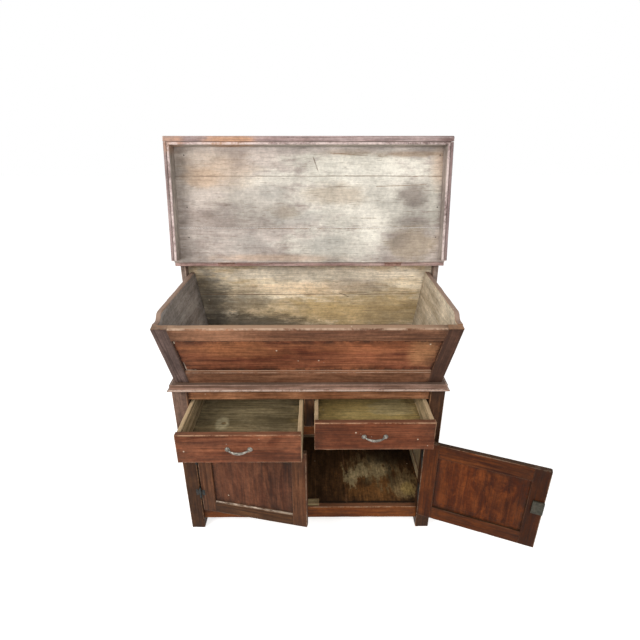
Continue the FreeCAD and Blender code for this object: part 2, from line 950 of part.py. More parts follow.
def hinge_leaf(fixed, height, leaf_width):
    """One leaf with its own knuckles: the outer two on the fixed leaf, the middle one on the other."""
    near = size("leaf_gap") / 2
    x = mirrored(RIGHT if fixed else LEFT, near, near + size("leaf_thick"))
    clear = size("knuckle_radius") + size("knuckle_gap")
    pieces = [box(x, (clear, clear + leaf_width), (-height / 2, height / 2))]
    pitch = height / HINGE_KNUCKLES
    length = pitch - size("knuckle_gap")
    for i in range(HINGE_KNUCKLES):
        if (i % 2 == 0) != fixed:
            continue
        low = -height / 2 + i * pitch + size("knuckle_gap") / 2
        pieces.append(cylinder(size("knuckle_radius"), length, 0, 0, low))
        pieces.append(box(x, (as_size(0), clear), (low, low + length)))
    bore = cylinder(size("pin_radius") + size("pin_gap"), 2 * height, 0, 0, -height)
    return cut(fuse(*pieces), bore)


def hinge_pin(height):
    length = height + 2 * size("pin_tip")
    return group(cylinder(size("pin_radius"), length, 0, 0, -length / 2))


def placed(piece, rotation, x, y, z):
    piece.Placement.Rotation = rotation
    place(piece, x, y, z)
    return piece


door_hinge_height = size("door_hinge_height")
door_hinge_levels = (door_low + size("door_hinge_inset"), door_high - size("door_hinge_inset"))
post_leaves = []
door_pins = []
door_leaves = {LEFT: [], RIGHT: []}
for side, turn in ((LEFT, TURNED_OVER), (RIGHT, AS_DRAWN)):
    for level in door_hinge_levels:
        spot = (side * (opening - hinge_gap / 2), door_axis_y, level)
        leaf_width = size("door_leaf_width")
        post_leaves.append(placed(hinge_leaf(True, door_hinge_height, leaf_width), turn, *spot))
        door_leaves[side].append(placed(hinge_leaf(False, door_hinge_height, leaf_width), turn, *spot))
        door_pins.append(placed(hinge_pin(door_hinge_height), turn, *spot))
node("door_hinge_post_leaves", *post_leaves)
node("door_hinge_pins", *door_pins)

strip_leaves = []
lid_leaves = []
lid_pins = []
for side in (LEFT, RIGHT):
    spot = (side * lid_hinge_x, lid_axis_y, lid_axis_z)
    width = size("lid_hinge_width")
    strip_leaves.append(placed(hinge_leaf(True, width, size("lid_leaf_width")), PIN_ALONG_X, *spot))
    lid_leaves.append(placed(hinge_leaf(False, width, size("lid_leaf_width")), PIN_ALONG_X, *spot))
    lid_pins.append(placed(hinge_pin(width), PIN_ALONG_X, *spot))
node("lid_hinge_strip_leaves", *strip_leaves)
node("lid_hinge_pins", *lid_pins)
node("lid_hinge_lid_leaves", *lid_leaves, pose=turned_about_x)


# Drawers, drawn closed

def pull_ring(share, radius, spread):
    """One flat-sided section of the bow, at a share of its arc from -1 at one end to 1 at the other."""
    swell = (1 - share * share) ** PULL_SWELL_POWER
    ring = doc.addObject("Part::RegularPolygon", "Ring")
    ring.Polygon = PULL_SIDES
    rod = size("pull_rod_radius")
    bind(ring, "Circumradius", rod + (size("pull_grip_radius") - rod) * swell)
    angle = share * spread
    ring.Placement.Rotation = FreeCAD.Rotation(FreeCAD.Vector(0, 0, 1), 0)
    bow = group(ring)
    bow.Placement.Rotation = FreeCAD.Rotation(FreeCAD.Vector(0, 1, 0), RIGHT_ANGLE)
    turn = group(bow)
    turn.Placement.Rotation = FreeCAD.Rotation(FreeCAD.Vector(0, 0, 1), 1)
    bind(turn, "Placement.Rotation.Angle", angle)
    middle = radius - size("pull_reach")
    place(turn, radius * sine(angle), middle - radius * cosine(angle), 0)
    return turn


def drawer_pull(x, z):
    """A cast bow pull: an arc that swells to a grip between two round rosettes."""
    chord = size("pull_span") / 2
    reach_out = size("pull_reach")
    radius = (chord * chord + reach_out * reach_out) / (2 * reach_out)
    spread = arc_sine(chord / radius)
    bow = doc.addObject("Part::Loft", "Bow")
    steps = range(PULL_STATIONS)
    bow.Sections = [pull_ring(2 * i / (PULL_STATIONS - 1) - 1, radius, spread) for i in steps]
    bow.Solid = True
    bow.Ruled = True
    bow.Placement.Rotation = FreeCAD.Rotation(FreeCAD.Vector(1, 0, 0), 1)
    bind(bow, "Placement.Rotation.Angle", size("pull_tilt_angle"))
    place(bow, x, rail_front, z)
    forward = FreeCAD.Vector(0, -1, 0)
    pieces = [bow]
    for side in (LEFT, RIGHT):
        spot = (x + side * chord, rail_front, z)
        pieces.append(cylinder(size("rosette_radius"), size("rosette_thick"), *spot, axis=forward))
    spare = size("pull_span")
    behind = box((x - spare, x + spare), (rail_front, rail_front + spare), (z - spare, z + spare))
    return cut(fuse(*pieces), behind)


def make_drawer(side, name):
    pose = pulled_drawer(side)
    x_low, x_high = mirrored(side, drawer_inner, drawer_outer)
    box_front = rail_front + size("drawer_front_thick")
    box_back = rear_rail_front - size("drawer_rear_gap")
    wall_low = mid_rail_top + size("runner_gap")
    wall_high = drawer_high - size("drawer_wall_drop")
    thick = size("drawer_wall")
    bottom_groove = size("drawer_bottom_groove")
    bottom_low = wall_low + size("drawer_bottom_lift")
    bottom_high = bottom_low + size("drawer_bottom_thick")
    bottom = box(
        (x_low + thick - bottom_groove, x_high - thick + bottom_groove),
        (box_front - bottom_groove, box_back),
        (bottom_low, bottom_high),
    )
    face = box((x_low, x_high), (rail_front, box_front), (drawer_low, drawer_high))
    left_wall = box((x_low, x_low + thick), (box_front, box_back), (wall_low, wall_high))
    right_wall = box((x_high - thick, x_high), (box_front, box_back), (wall_low, wall_high))
    rear = box((x_low + thick, x_high - thick), (box_back - thick, box_back), (bottom_high, wall_high))
    node(f"{name}_front", cut(face, bottom), pose=pose)
    node(f"{name}_sides", cut(left_wall, bottom), cut(right_wall, bottom), pose=pose)
    node(f"{name}_back", rear, pose=pose)
    node(f"{name}_bottom", bottom, pose=pose)
    pull = drawer_pull((x_low + x_high) / 2, (drawer_low + drawer_high) / 2)
    node(f"{name}_pull", pull, pose=pose)


make_drawer(LEFT, "drawer_left")
make_drawer(RIGHT, "drawer_right")

# Doors, drawn closed: grooved stiles and tenoned rails round a fielded panel

door_free = size("door_meeting_gap") / 2
door_hung = opening - hinge_gap
door_back = front + size("door_thick")
tongue_front = front + size("door_panel_recess")
tongue_back = tongue_front + size("door_panel_tongue")
frame_free = door_free + size("door_stile_width")
frame_hung = door_hung - size("door_stile_width")
frame_low = door_low + size("door_rail_width")
frame_high = door_high - size("door_rail_width")
door_groove = size("door_groove")


def fielded_panel(side):
    """A panel with a tongue all round and a bevelled field on its inner face."""
    x_low, x_high = mirrored(side, frame_free, frame_hung)
    tongue = box(
        (x_low - door_groove, x_high + door_groove),
        (tongue_front, tongue_back),
        (frame_low - door_groove, frame_high + door_groove),
    )
    bevel = size("door_panel_bevel")
    field = doc.addObject("Part::Wedge", "Field")
    bind(field, "Xmin", x_low)
    bind(field, "Xmax", x_high)
    bind(field, "Ymin", tongue_back)
    bind(field, "Ymax", tongue_back + size("door_panel_field"))
    bind(field, "Zmin", frame_low)
    bind(field, "Zmax", frame_high)
    bind(field, "X2min", x_low + bevel)
    bind(field, "X2max", x_high - bevel)
    bind(field, "Z2min", frame_low + bevel)
    bind(field, "Z2max", frame_high - bevel)
    return fuse(tongue, field)


def door_rail(side, low, high, panel, edge, into_rail):
    """A rail with a stub tenon in each stile's groove and a chamfer on its front arris beside the panel."""
    x_low, x_high = mirrored(side, frame_free, frame_hung)
    rail = box((x_low, x_high), (front, door_back), (low, high))
    tenon = box((x_low - door_groove, x_high + door_groove), (tongue_front, tongue_back), (low, high))
    chamfer = size("door_chamfer")
    corners = [(front, edge), (front + chamfer, edge), (front, edge + into_rail * chamfer)]
    waste = prism("YZ", corners, x_low, x_high)
    return cut(fuse(rail, tenon), panel, waste), tenon


def keyhole(x, z):
    """A round hole over a slot, through the whole thickness of a stile."""
    backward = FreeCAD.Vector(0, 1, 0)
    half_slot = size("keyhole_slot") / 2
    hole = cylinder(size("keyhole_radius"), size("door_thick"), x, front, z, axis=backward)
    slot = box((x - half_slot, x + half_slot), (front, door_back), (z - size("keyhole_drop"), z))
    return fuse(hole, slot)


def make_door(side, name):
    pose = swung_door(side)
    panel = fielded_panel(side)
    low_rail, low_tenon = door_rail(side, door_low, frame_low, panel, frame_low, -1)
    high_rail, high_tenon = door_rail(side, frame_high, door_high, panel, frame_high, 1)
    grooves = [panel, low_tenon, high_tenon]
    hung_x = mirrored(side, frame_hung, door_hung)
    free_x = mirrored(side, door_free, frame_free)
    hung_stile = cut(box(hung_x, (front, door_back), (door_low, door_high)), *grooves)
    free_cuts = list(grooves)
    if side == RIGHT:
        free_cuts.append(keyhole(door_free + size("keyhole_inset"), lock_middle))
    free_stile = cut(box(free_x, (front, door_back), (door_low, door_high)), *free_cuts)
    node(f"{name}_stiles", hung_stile, free_stile, pose=pose)
    node(f"{name}_rails", low_rail, high_rail, pose=pose)
    node(f"{name}_panel", panel, pose=pose)
    node(f"{name}_hinge_leaves", *door_leaves[side], pose=pose)


lock_middle = (door_low + door_high) / 2 + size("lock_rise")
make_door(LEFT, "door_left")
make_door(RIGHT, "door_right")

# Rim lock on the right door: a steel case with a bolt that slides out past the door's edge

bolt_gap = size("bolt_gap")
bolt_front = door_back + (size("lock_thick") - size("bolt_thick")) / 2
bolt_back = bolt_front + size("bolt_thick")
bolt_half = size("bolt_height") / 2
lock_half = size("lock_height") / 2
lock_shell = box(
    (door_free, door_free + size("lock_width")),
    (door_back, door_back + size("lock_thick")),
    (lock_middle - lock_half, lock_middle + lock_half),
)
bolt_way = box(
    (door_free, door_free + size("bolt_length") + bolt_gap),
    (bolt_front - bolt_gap, bolt_back + bolt_gap),
    (lock_middle - bolt_half - bolt_gap, lock_middle + bolt_half + bolt_gap),
)
bolt = box(
    (door_free, door_free + size("bolt_length")),
    (bolt_front, bolt_back),
    (lock_middle - bolt_half, lock_middle + bolt_half),
)
node("lock_case", cut(lock_shell, bolt_way), pose=swung_door(RIGHT))
node("lock_bolt", bolt, pose=swung_door(RIGHT))

doc.recompute()

# Nothing is written unless every object is sound
for thing in doc.Objects:
    if "Invalid" in thing.State or "Error" in thing.State:
        raise RuntimeError(f"{thing.Name} ({thing.Label}) failed: {thing.State}")
for piece in nodes:
    if piece.Shape.isNull() or not piece.Shape.isValid():
        raise RuntimeError(f"{piece.Label} has no valid shape")
    if not piece.Shape.Solids or piece.Shape.Volume <= 0:
        raise RuntimeError(f"{piece.Label} holds no solid")

os.makedirs("parts", exist_ok=True)
for piece in nodes:
    piece.Shape.exportStep(f"parts/{piece.Label}.step")
print(len(nodes), "sub-parts,", sum(len(piece.Shape.Solids) for piece in nodes), "solids")
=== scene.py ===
import math

import bpy
import numpy as np
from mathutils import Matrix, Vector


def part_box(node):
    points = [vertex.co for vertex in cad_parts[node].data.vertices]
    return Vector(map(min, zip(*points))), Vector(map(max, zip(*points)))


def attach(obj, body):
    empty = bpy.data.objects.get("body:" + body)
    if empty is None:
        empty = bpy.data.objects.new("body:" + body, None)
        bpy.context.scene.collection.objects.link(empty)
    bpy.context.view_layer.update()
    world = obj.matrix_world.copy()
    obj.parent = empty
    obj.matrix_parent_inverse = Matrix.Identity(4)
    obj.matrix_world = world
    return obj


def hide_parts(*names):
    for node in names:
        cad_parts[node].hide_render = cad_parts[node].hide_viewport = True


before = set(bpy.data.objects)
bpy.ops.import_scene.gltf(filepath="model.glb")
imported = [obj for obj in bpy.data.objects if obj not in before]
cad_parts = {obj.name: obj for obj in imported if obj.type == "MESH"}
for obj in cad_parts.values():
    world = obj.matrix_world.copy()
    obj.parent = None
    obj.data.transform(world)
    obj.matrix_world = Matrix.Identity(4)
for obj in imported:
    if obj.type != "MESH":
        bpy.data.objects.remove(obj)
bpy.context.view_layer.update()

# Sizes of the cupboard in metres, as it is drawn closed. X is to the right, Y to the back, Z up.
MM, TINY, LAP_SHARE = 0.001, 1e-7, 0.02
HALF, FRONT, BACK = 0.5, -0.255, 0.255
OPENING, WALL = 0.445, 0.484
POST_REAR, REAR_POST_FRONT = -0.205, 0.205
RAIL_FRONT, RAIL_BACK, REAR_RAIL_FRONT = -0.241, -0.217, 0.223
FOOT_HEIGHT = 0.042
SIDE_RAIL_HIGH, SIDE_RAIL_LOW, SIDE_GROOVE = 0.136, 0.601, 0.008
SIDE_PANEL_INNER, SIDE_PANEL_OUTER = 0.488, 0.496
CASE_LOW, CASE_HIGH = 0.681, 0.707
FLOOR_LOW, FLOOR_HIGH, FLOOR_SEAM = 0.0775, 0.0955, 0.154
CORNICE_REACH, CORNICE_NECK, CORNICE_NOSE, CORNICE_FILLET = 0.012, 0.004, 0.009, 0.005
BACK_BOARDS, BOARD_GAP, BUTT_RUN_IN = 5, 0.8 * MM, 0.4 * MM

TROUGH_HALF, TROUGH_WALL = 0.485, 0.019
FLARE, LEAN = math.radians(8.0), math.radians(14.5)
TROUGH_RIM, TROUGH_FRONT_HEIGHT, TROUGH_FRONT_THICK = 0.27, 0.2445, 0.024
FRONT_FOOT = -0.244
TROUGH_RAIL, TROUGH_STILE, TROUGH_CHAMFER = 0.057, 0.054, 0.005
TROUGH_PANEL_RECESS, TROUGH_PANEL_THICK, TROUGH_TONGUE = 0.008, 0.009, 0.006
SHOULDER_REAR, SHOULDER_RUN = -0.209, 0.05
BACK_FACE, BACK_HALF, BACK_SEAM, STRIP_LOW = 0.237, 0.552, 0.872, 1.0205
BATTEN_WIDTH, BATTEN_DEPTH = 0.022, 0.039

LID_AXIS_Y, LID_AXIS_Z, LID_OPEN = 0.1752, 1.0365, math.radians(100.9)
LID_HALF, LID_FRONT, LID_REAR, LID_LOW = 0.563, -0.31933, 0.1734, 1.0205
LID_SEAMS = (0.0322, -0.17083)
LIP_HALF, LIP_FRONT, LIP_REAR, LIP_LOW = 0.5565, -0.31283, 0.1626, 0.95929
LIP_THICK, FRONT_LIP_THICK = 0.024, 0.033
LIP_ROUND, LIP_BEAD, LIP_QUIRK, LIP_QUIRK_DEPTH = 0.008, 0.0095, 0.0025, 0.003
STRIP_FRONT, STRIP_REAR, STRIP_HIGH, STRIP_HALF, STRIP_ROUND = 0.177, 0.26, 1.0365, 0.567, 0.006
LID_HINGE_X, LID_HINGE_HALF, LID_HINGE_ROOM = 0.35, 0.0375, 0.0045

DOOR_AXIS_X, DOOR_AXIS_Y = 0.4432, -0.2593
LEFT_OPEN, RIGHT_OPEN = math.radians(-12.0), math.radians(158.4)
DOOR_FREE, DOOR_HUNG, DOOR_LOW, DOOR_HIGH, DOOR_BACK = 0.0015, 0.4414, 0.1025, 0.4685, -0.235
DOOR_STILE, DOOR_RAIL, DOOR_TONGUE, DOOR_RECESS, DOOR_PANEL_BACK = 0.057, 0.06, 0.008, 0.007, 0.013
DOOR_FIELD, DOOR_BEVEL, DOOR_CHAMFER = 0.004, 0.028, 0.005
DOOR_HINGE_LEVELS = (0.1995, 0.3715)
LOCK_WIDTH, LOCK_HALF, LOCK_BACK, LOCK_MIDDLE = 0.04, 0.028, -0.227, 0.3005
KEYHOLE_X, KEYHOLE_RADIUS, KEYHOLE_SLOT, KEYHOLE_DROP = 0.0255, 3.5 * MM, 2 * MM, 8 * MM
LEFT, RIGHT = -1, 1
SIDES = ((LEFT, "left"), (RIGHT, "right"))
DRAWER_WALL_THICK = 0.015
DRAWER_MIDDLE, DRAWER_X, DRAWER_OUT = 0.5735, 0.23125, {LEFT: 0.205, RIGHT: 0.141}
PULL_HALF_SPAN, PULL_REACH, PULL_TILT = 0.0375, 0.02, math.radians(8.0)

# Rounding, wear, grime and painted shade that all boards share
LEAST_ROUND, ARC_STEPS, ARC_ROOM, ARRIS_FADE = 0.3 * MM, 4, 0.7, 2.5 * MM
FULL_ARRIS, FULL_HOLLOW = math.radians(40), math.radians(14)
END_SHARE, NEXT_SHARE = 0.04, 0.14
END_RINGS, NEAR_END, NEAR_END_SHARES = 4, np.array([2.5, 8.0, 16.0]) * MM, (0.1, 0.2, 0.3)
LEAST_STATIONS, BOARD_PITCH = 4, 0.03
WAVE_COUNT, WAVE_SPAN = 9, (0.6, 1.6)
SLOW_WAVE, SLOW_DEPTH = 0.22, 0.12 * MM
BITE_WAVE, BITE_LEVEL, BITE_DEPTH = 0.03, 0.35, 1.8 * MM
RUB_WAVE, RUB_DEPTH = 0.09, 0.5 * MM
# How far grime and painted shade reach from an end, and from a framed edge
END_SOIL_AND_SHADE, FRAME_SOIL_AND_SHADE, GRAIN_SHIFT = 0.035, 0.014, 3.0
INNER_RAMP, OUTER_RAMP, TOP_RAMP = (0.3, 0.8), (5 / 6, 1.0), (0.725, 0.975)


# Shapes

def waves(points, size, seed):
    """Smooth waviness of about -1 to 1: the sum of plane waves of one size in fixed random directions."""
    rng = np.random.default_rng(seed)
    directions = rng.normal(size=(WAVE_COUNT, 3))
    directions /= np.linalg.norm(directions, axis=1, keepdims=True)
    directions *= 2 * math.pi / size * rng.uniform(*WAVE_SPAN, (WAVE_COUNT, 1))
    phases = rng.uniform(0, 2 * math.pi, WAVE_COUNT)
    return np.sin(points @ directions.T + phases).sum(-1) / (WAVE_COUNT / 2)


def ramp(values, low, high):
    """0 up to low, 1 from high on, and a straight rise between."""
    return np.clip((values - low) / (high - low), 0, 1)


def held(values, low, high):
    """Values held between two limits, but for a small share of what lies beyond, so no points fall
    together."""
    kept = np.clip(values, low, high)
    return kept + LAP_SHARE * (values - kept)


def axes_from(grain):
    """An axis and the two that follow it in the order X, Y, Z, X, Y."""
    return [(grain + step) % 3 for step in range(3)]


def both_sides(side, low, high):
    """A range of X on the right side, or its mirror image on the left."""
    return (low, high) if side == RIGHT else (-high, -low)


def rectangle(low, high):
    """The corners of a rectangle, anticlockwise."""
    return [(low[0], low[1]), (high[0], low[1]), (high[0], high[1]), (low[0], high[1])]


def even_spread(count):
    """Shares of a side at which it has points: evenly along it, and one near each end."""
    return np.concatenate([[END_SHARE], np.linspace(NEXT_SHARE, 1 - NEXT_SHARE, count - 2), [1 - END_SHARE]])


def station_shares(length, pitch):
    """Shares of a board's length at which it has rings: some close to each end, and evenly between."""
    close = np.minimum(NEAR_END / length, NEAR_END_SHARES)
    middle = np.linspace(close[-1], 1 - close[-1], max(LEAST_STATIONS, int(length / pitch)))[1:-1]
    return np.concatenate([close, middle, 1 - close[::-1]])


def bends(turn, rub, spread):
    """How a closed outline bends at each of its points: up to 1 on an arris, times its rub, and down to -1 in
    a hollow. A rub below 0 is itself the bend of a hollow, and a side between two rubs above 1 is worn all
    over."""
    rub = np.broadcast_to(rub, len(turn))
    bend = np.where(turn > 0, rub * np.minimum(turn / FULL_ARRIS, 1), np.maximum(turn / FULL_HOLLOW, -1))
    bend = np.where(rub < 0, rub, np.minimum(bend, 1))
    between = np.minimum(np.maximum(bend, np.roll(bend, -1)), 0)
    between = between + np.clip(np.minimum(rub, np.roll(rub, -1)) - 1, 0, 1)
    return np.repeat(np.stack([bend, between], 1), [ARC_STEPS + 1, len(spread)], 1).ravel()


def rounded(corners, radius, spread, rub=1.0, inset=0.0):
    """A closed outline, anticlockwise: each corner is an arc whose normal turns evenly from one side to the
    next, and each side has points between. inset moves every side inwards. Gives the points, the outward
    normals and the bends."""
    corners = np.asarray(corners, float)
    out = np.roll(corners, -1, 0) - corners
    out /= np.linalg.norm(out, axis=1, keepdims=True)
    into = np.roll(out, 1, 0)
    turn = np.arctan2(into[:, 0] * out[:, 1] - into[:, 1] * out[:, 0], (into * out).sum(1))
    half_turn = np.tan(np.abs(turn) / 2)
    corners = corners - inset * (into + out)[:, ::-1] * (1, -1) / (1 + np.cos(turn))[:, None]
    gap = np.linalg.norm(np.roll(corners, -1, 0) - corners, axis=1)
    room = ARC_ROOM * np.minimum(gap, np.roll(gap, 1)) / np.maximum(half_turn, TINY)
    radius = np.minimum(np.maximum(np.asarray(radius) - inset * np.sign(turn), LEAST_ROUND), room)
    begin = corners - into * (radius * half_turn)[:, None]
    parts = np.linspace(0, 1, ARC_STEPS + 1)
    angle = np.arctan2(-into[:, 0], into[:, 1])[:, None] + parts * turn[:, None]
    normal = np.stack([np.cos(angle), np.sin(angle)], -1)
    bulge = (radius * np.sign(turn))[:, None, None]
    arcs = begin[:, None] - normal[:, :1] * bulge + normal * bulge
    length = np.linalg.norm(np.roll(begin, -1, 0) - arcs[:, -1], axis=1)
    near = np.minimum(ARRIS_FADE / np.maximum(length, ARRIS_FADE), spread[0])[:, None]
    share = np.concatenate([near, np.repeat(spread[None, 1:-1], len(corners), 0), 1 - near], 1)[..., None]
    sides = arcs[:, -1:] * (1 - share) + np.roll(begin, -1, 0)[:, None] * share
    points = np.concatenate([arcs, sides], 1).reshape(-1, 2)
    normals = np.concatenate([normal, np.repeat(normal[:, -1:], len(spread), 1)], 1).reshape(-1, 2)
    return points, normals, bends(turn, rub, spread)


def put_skins(name, skins, fields=None, grain_place=None):
    """Closed skins in one mesh: each is rings of points joined in order, capped over the first and the
    last."""
    faces, smooth, offset = [], [], 0
    for rings in skins:
        count, around = rings.shape[:2]
        here = offset + np.arange(count - 1)[:, None] * around + np.arange(around)
        after = np.roll(here, -1, 1)
        faces += np.stack([here, after, after + around, here + around], -1).reshape(-1, 4).tolist()
        faces += [here[0][::-1].tolist(), (here[-1] + around).tolist()]
        smooth += [True] * here.size + [False, False]
        offset += count * around
    mesh = bpy.data.meshes.new(name)
    mesh.from_pydata(np.concatenate([rings.reshape(-1, 3) for rings in skins]).tolist(), [], faces)
    mesh.polygons.foreach_set("use_smooth", smooth)
    for field, values in (fields or {}).items():
        mesh.attributes.new(field, "FLOAT", "POINT").data.foreach_set("value", values.ravel())
    if grain_place is not None:
        mesh.attributes.new("timber", "FLOAT_VECTOR", "POINT").data.foreach_set("vector", grain_place.ravel())
    mesh.update()
    piece = bpy.data.objects.new(name, mesh)
    bpy.context.scene.collection.objects.link(piece)
    return piece


def dress(piece, finish, body, nodes):
    """Gives a piece its finish, the body it rides on and the CAD nodes it stands for."""
    piece.data.materials.append(finish)
    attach(piece, body)
    if nodes:
        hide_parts(*nodes)


def worn_depth(spot, edge, nick, seed):
    """How far a skin is let in: by slow waves all over, and on its arrises by a rub and by small bites."""
    slow = SLOW_DEPTH * min(2 * nick, 1) * (1 + waves(spot, SLOW_WAVE, seed))
    bites = BITE_DEPTH * np.clip(waves(spot, BITE_WAVE, seed + 1) - BITE_LEVEL, 0, 1)
    rubbed = RUB_DEPTH * (1 + waves(spot, RUB_WAVE, seed + 2))
    return slow + nick * edge * (bites + rubbed)


def carried(name, section, grain, start, end, finish, body, nodes, slot="stained_wood", radius=1.6 * MM,
            nick=1.0, end_round=1.6 * MM, start_cut=(0, 0), end_cut=(0, 0), shape=None, pose=None, inner=None,
            pitch=BOARD_PITCH, spread=even_spread(8), stations=None, framed=0.0, rub=1.0, end_rub=1.0,
            butt=False):
    """A board: an outline carried along its grain axis, rounded at both ends. start_cut and end_cut slant the
    ends, as slopes across the section. The attributes say where a point lies in the board, how near it is to
    an arris and to an end, whether it is on the inner or the outer face and whether it faces up. inner is the
    axis of the inner face and the sign of its normal. framed is how far a panel's edges lie in their grooves.
    The ends of a butt board meet other boards, so they stay square and run in a little."""
    seed = len(bpy.data.meshes)
    if butt:
        start, end, end_round = start - BUTT_RUN_IN, end + BUTT_RUN_IN, BUTT_RUN_IN
    if stations is None:
        stations = station_shares(end - start, pitch)
    points, normal, bend = rounded(section, radius, spread, rub)
    quarter = np.linspace(0, math.pi / 2, END_RINGS)
    insets = end_round * (1 - np.sin(quarter))
    tips = np.stack([rounded(section, radius, spread, rub, inset)[0] for inset in insets])
    flat = np.concatenate([tips, np.repeat(points[None], len(stations), 0), tips[::-1]])
    lead = end_round * (1 - np.cos(quarter))[:, None]
    first = start + points @ np.asarray(start_cut, float)
    last = end + points @ np.asarray(end_cut, float)
    run = last - first - 2 * end_round
    along = np.concatenate([first + lead, first + end_round + stations[:, None] * run, last - lead[::-1]])
    axes = axes_from(grain)
    spot = np.zeros(along.shape + (3,))
    spot[..., axes] = np.stack([along, flat[..., 0], flat[..., 1]], -1)
    turn = np.concatenate([quarter, np.full(len(stations), math.pi / 2), quarter[::-1]])[:, None]
    sense = np.concatenate([-np.ones(END_RINGS), np.zeros(len(stations)), np.ones(END_RINGS)])[:, None]
    endwise = np.broadcast_to(sense * np.cos(turn), along.shape)[..., None]
    facing = np.zeros_like(spot)
    facing[..., axes] = np.concatenate([endwise, np.sin(turn)[..., None] * normal], -1)
    at_ends = np.zeros_like(sense) if butt else end_rub * np.abs(sense)
    edge = np.clip(np.maximum(bend, 0) + at_ends, 0, 1)
    hollow = np.maximum(-bend, 0) + np.zeros_like(sense)
    spot = spot - facing * worn_depth(spot, edge, nick, seed)[..., None]
    grain_place = np.stack([along - (start + end) / 2, *(flat - points.mean(0)).transpose(2, 0, 1)], -1)
    grain_place = grain_place + np.random.default_rng(seed).uniform(-GRAIN_SHIFT, GRAIN_SHIFT, 3)
    near, fade = np.minimum(along - first, last - along), END_SOIL_AND_SHADE
    if framed:
        wide = np.argmax(np.ptp(points, axis=0))
        from_side = np.minimum(points - points.min(0), points.max(0) - points)[:, wide]
        near, fade = np.minimum(near, from_side), FRAME_SOIL_AND_SHADE
    inward = facing[..., inner[0]] * inner[1] if inner else np.zeros(along.shape)
    both = np.concatenate([spot.reshape(-1, 3), (spot + facing * MM).reshape(-1, 3)])
    if shape:
        both = shape(both)
    if pose:
        both = pose(both)
    spot, tip = both.reshape((2,) + along.shape + (3,))
    up = (tip - spot)[..., 2] / np.maximum(np.linalg.norm(tip - spot, axis=-1), TINY)
    # Near a board's ends and a panel's framed edges the colour is darkened with grime and painted shade.
    fields = {"edge": edge, "hollow": hollow, "soil_and_shade": np.exp(-np.maximum(near - framed, 0) / fade),
              "inner": ramp(inward, *INNER_RAMP), "outer": ramp(-inward, *OUTER_RAMP),
              "top": ramp(up, *TOP_RAMP)}
    dress(put_skins(name, [spot], fields, grain_place), finish, body, nodes)


def plank(name, low, high, grain, finish, body, nodes, slot="stained_wood", **options):
    """A straight board between two corners, with its grain along one axis."""
    across = axes_from(grain)[1:]
    section = rectangle([low[i] for i in across], [high[i] for i in across])
    carried(name, section, grain, low[grain], high[grain], finish, body, nodes, slot, **options)


def over_node(node, grain, finish, body, slot="stained_wood", **options):
    """A worn board in the place of a CAD node that is one straight board."""
    low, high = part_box(node)
    plank("worn_" + node, low, high, grain, finish, body, [node], slot, **options)


OFF_AXIS = (0.3, 0.5, 0.81)


def lathe(profile, centre, axis, sides=16):
    """A turned skin: a profile of (radius, height) pairs carried round an axis that points away from the
    base."""
    profile = np.asarray(profile, float)
    axis = np.asarray(axis, float) / np.linalg.norm(axis)
    side = np.cross(OFF_AXIS, axis)
    side /= np.linalg.norm(side)
    angle = np.linspace(0, 2 * math.pi, sides, endpoint=False)
    ring = np.cos(angle)[:, None] * side + np.sin(angle)[:, None] * np.cross(axis, side)
    return np.asarray(centre) + profile[:, None, :1] * ring + profile[:, None, 1:] * axis


def turned(points, axis, centre, angle):
    """Points turned by the right-hand rule about a line along one axis through a centre."""
    first, second = axes_from(axis)[1:]
    a, b = points[..., first] - centre[first], points[..., second] - centre[second]
    result = points.copy()
    result[..., first] = centre[first] + a * math.cos(angle) - b * math.sin(angle)
    result[..., second] = centre[second] + a * math.sin(angle) + b * math.cos(angle)
    return result


def lid_pose(points):
    """From the closed lid to where it stands open: turned back about the hinge axis."""
    return turned(points, 0, (0, LID_AXIS_Y, LID_AXIS_Z), -LID_OPEN)


def door_pose(side):
    """From a closed door to where it stands open: turned about its hinge axis."""
    angle = RIGHT_OPEN if side == RIGHT else LEFT_OPEN

    def pose(points):
        return turned(points, 2, (side * DOOR_AXIS_X, DOOR_AXIS_Y, 0), angle)

    return pose


def lean_pose(points):
    """From the flat plane of the trough's front, y up its slope and z outwards, to where it leans."""
    result = np.empty_like(points)
    result[:, 0] = points[:, 0]
    result[:, 1] = FRONT_FOOT - points[:, 1] * math.sin(LEAN) - points[:, 2] * math.cos(LEAN)
    result[:, 2] = CASE_HIGH + points[:, 1] * math.cos(LEAN) - points[:, 2] * math.sin(LEAN)
    return result


# Node groups shared by the finishes

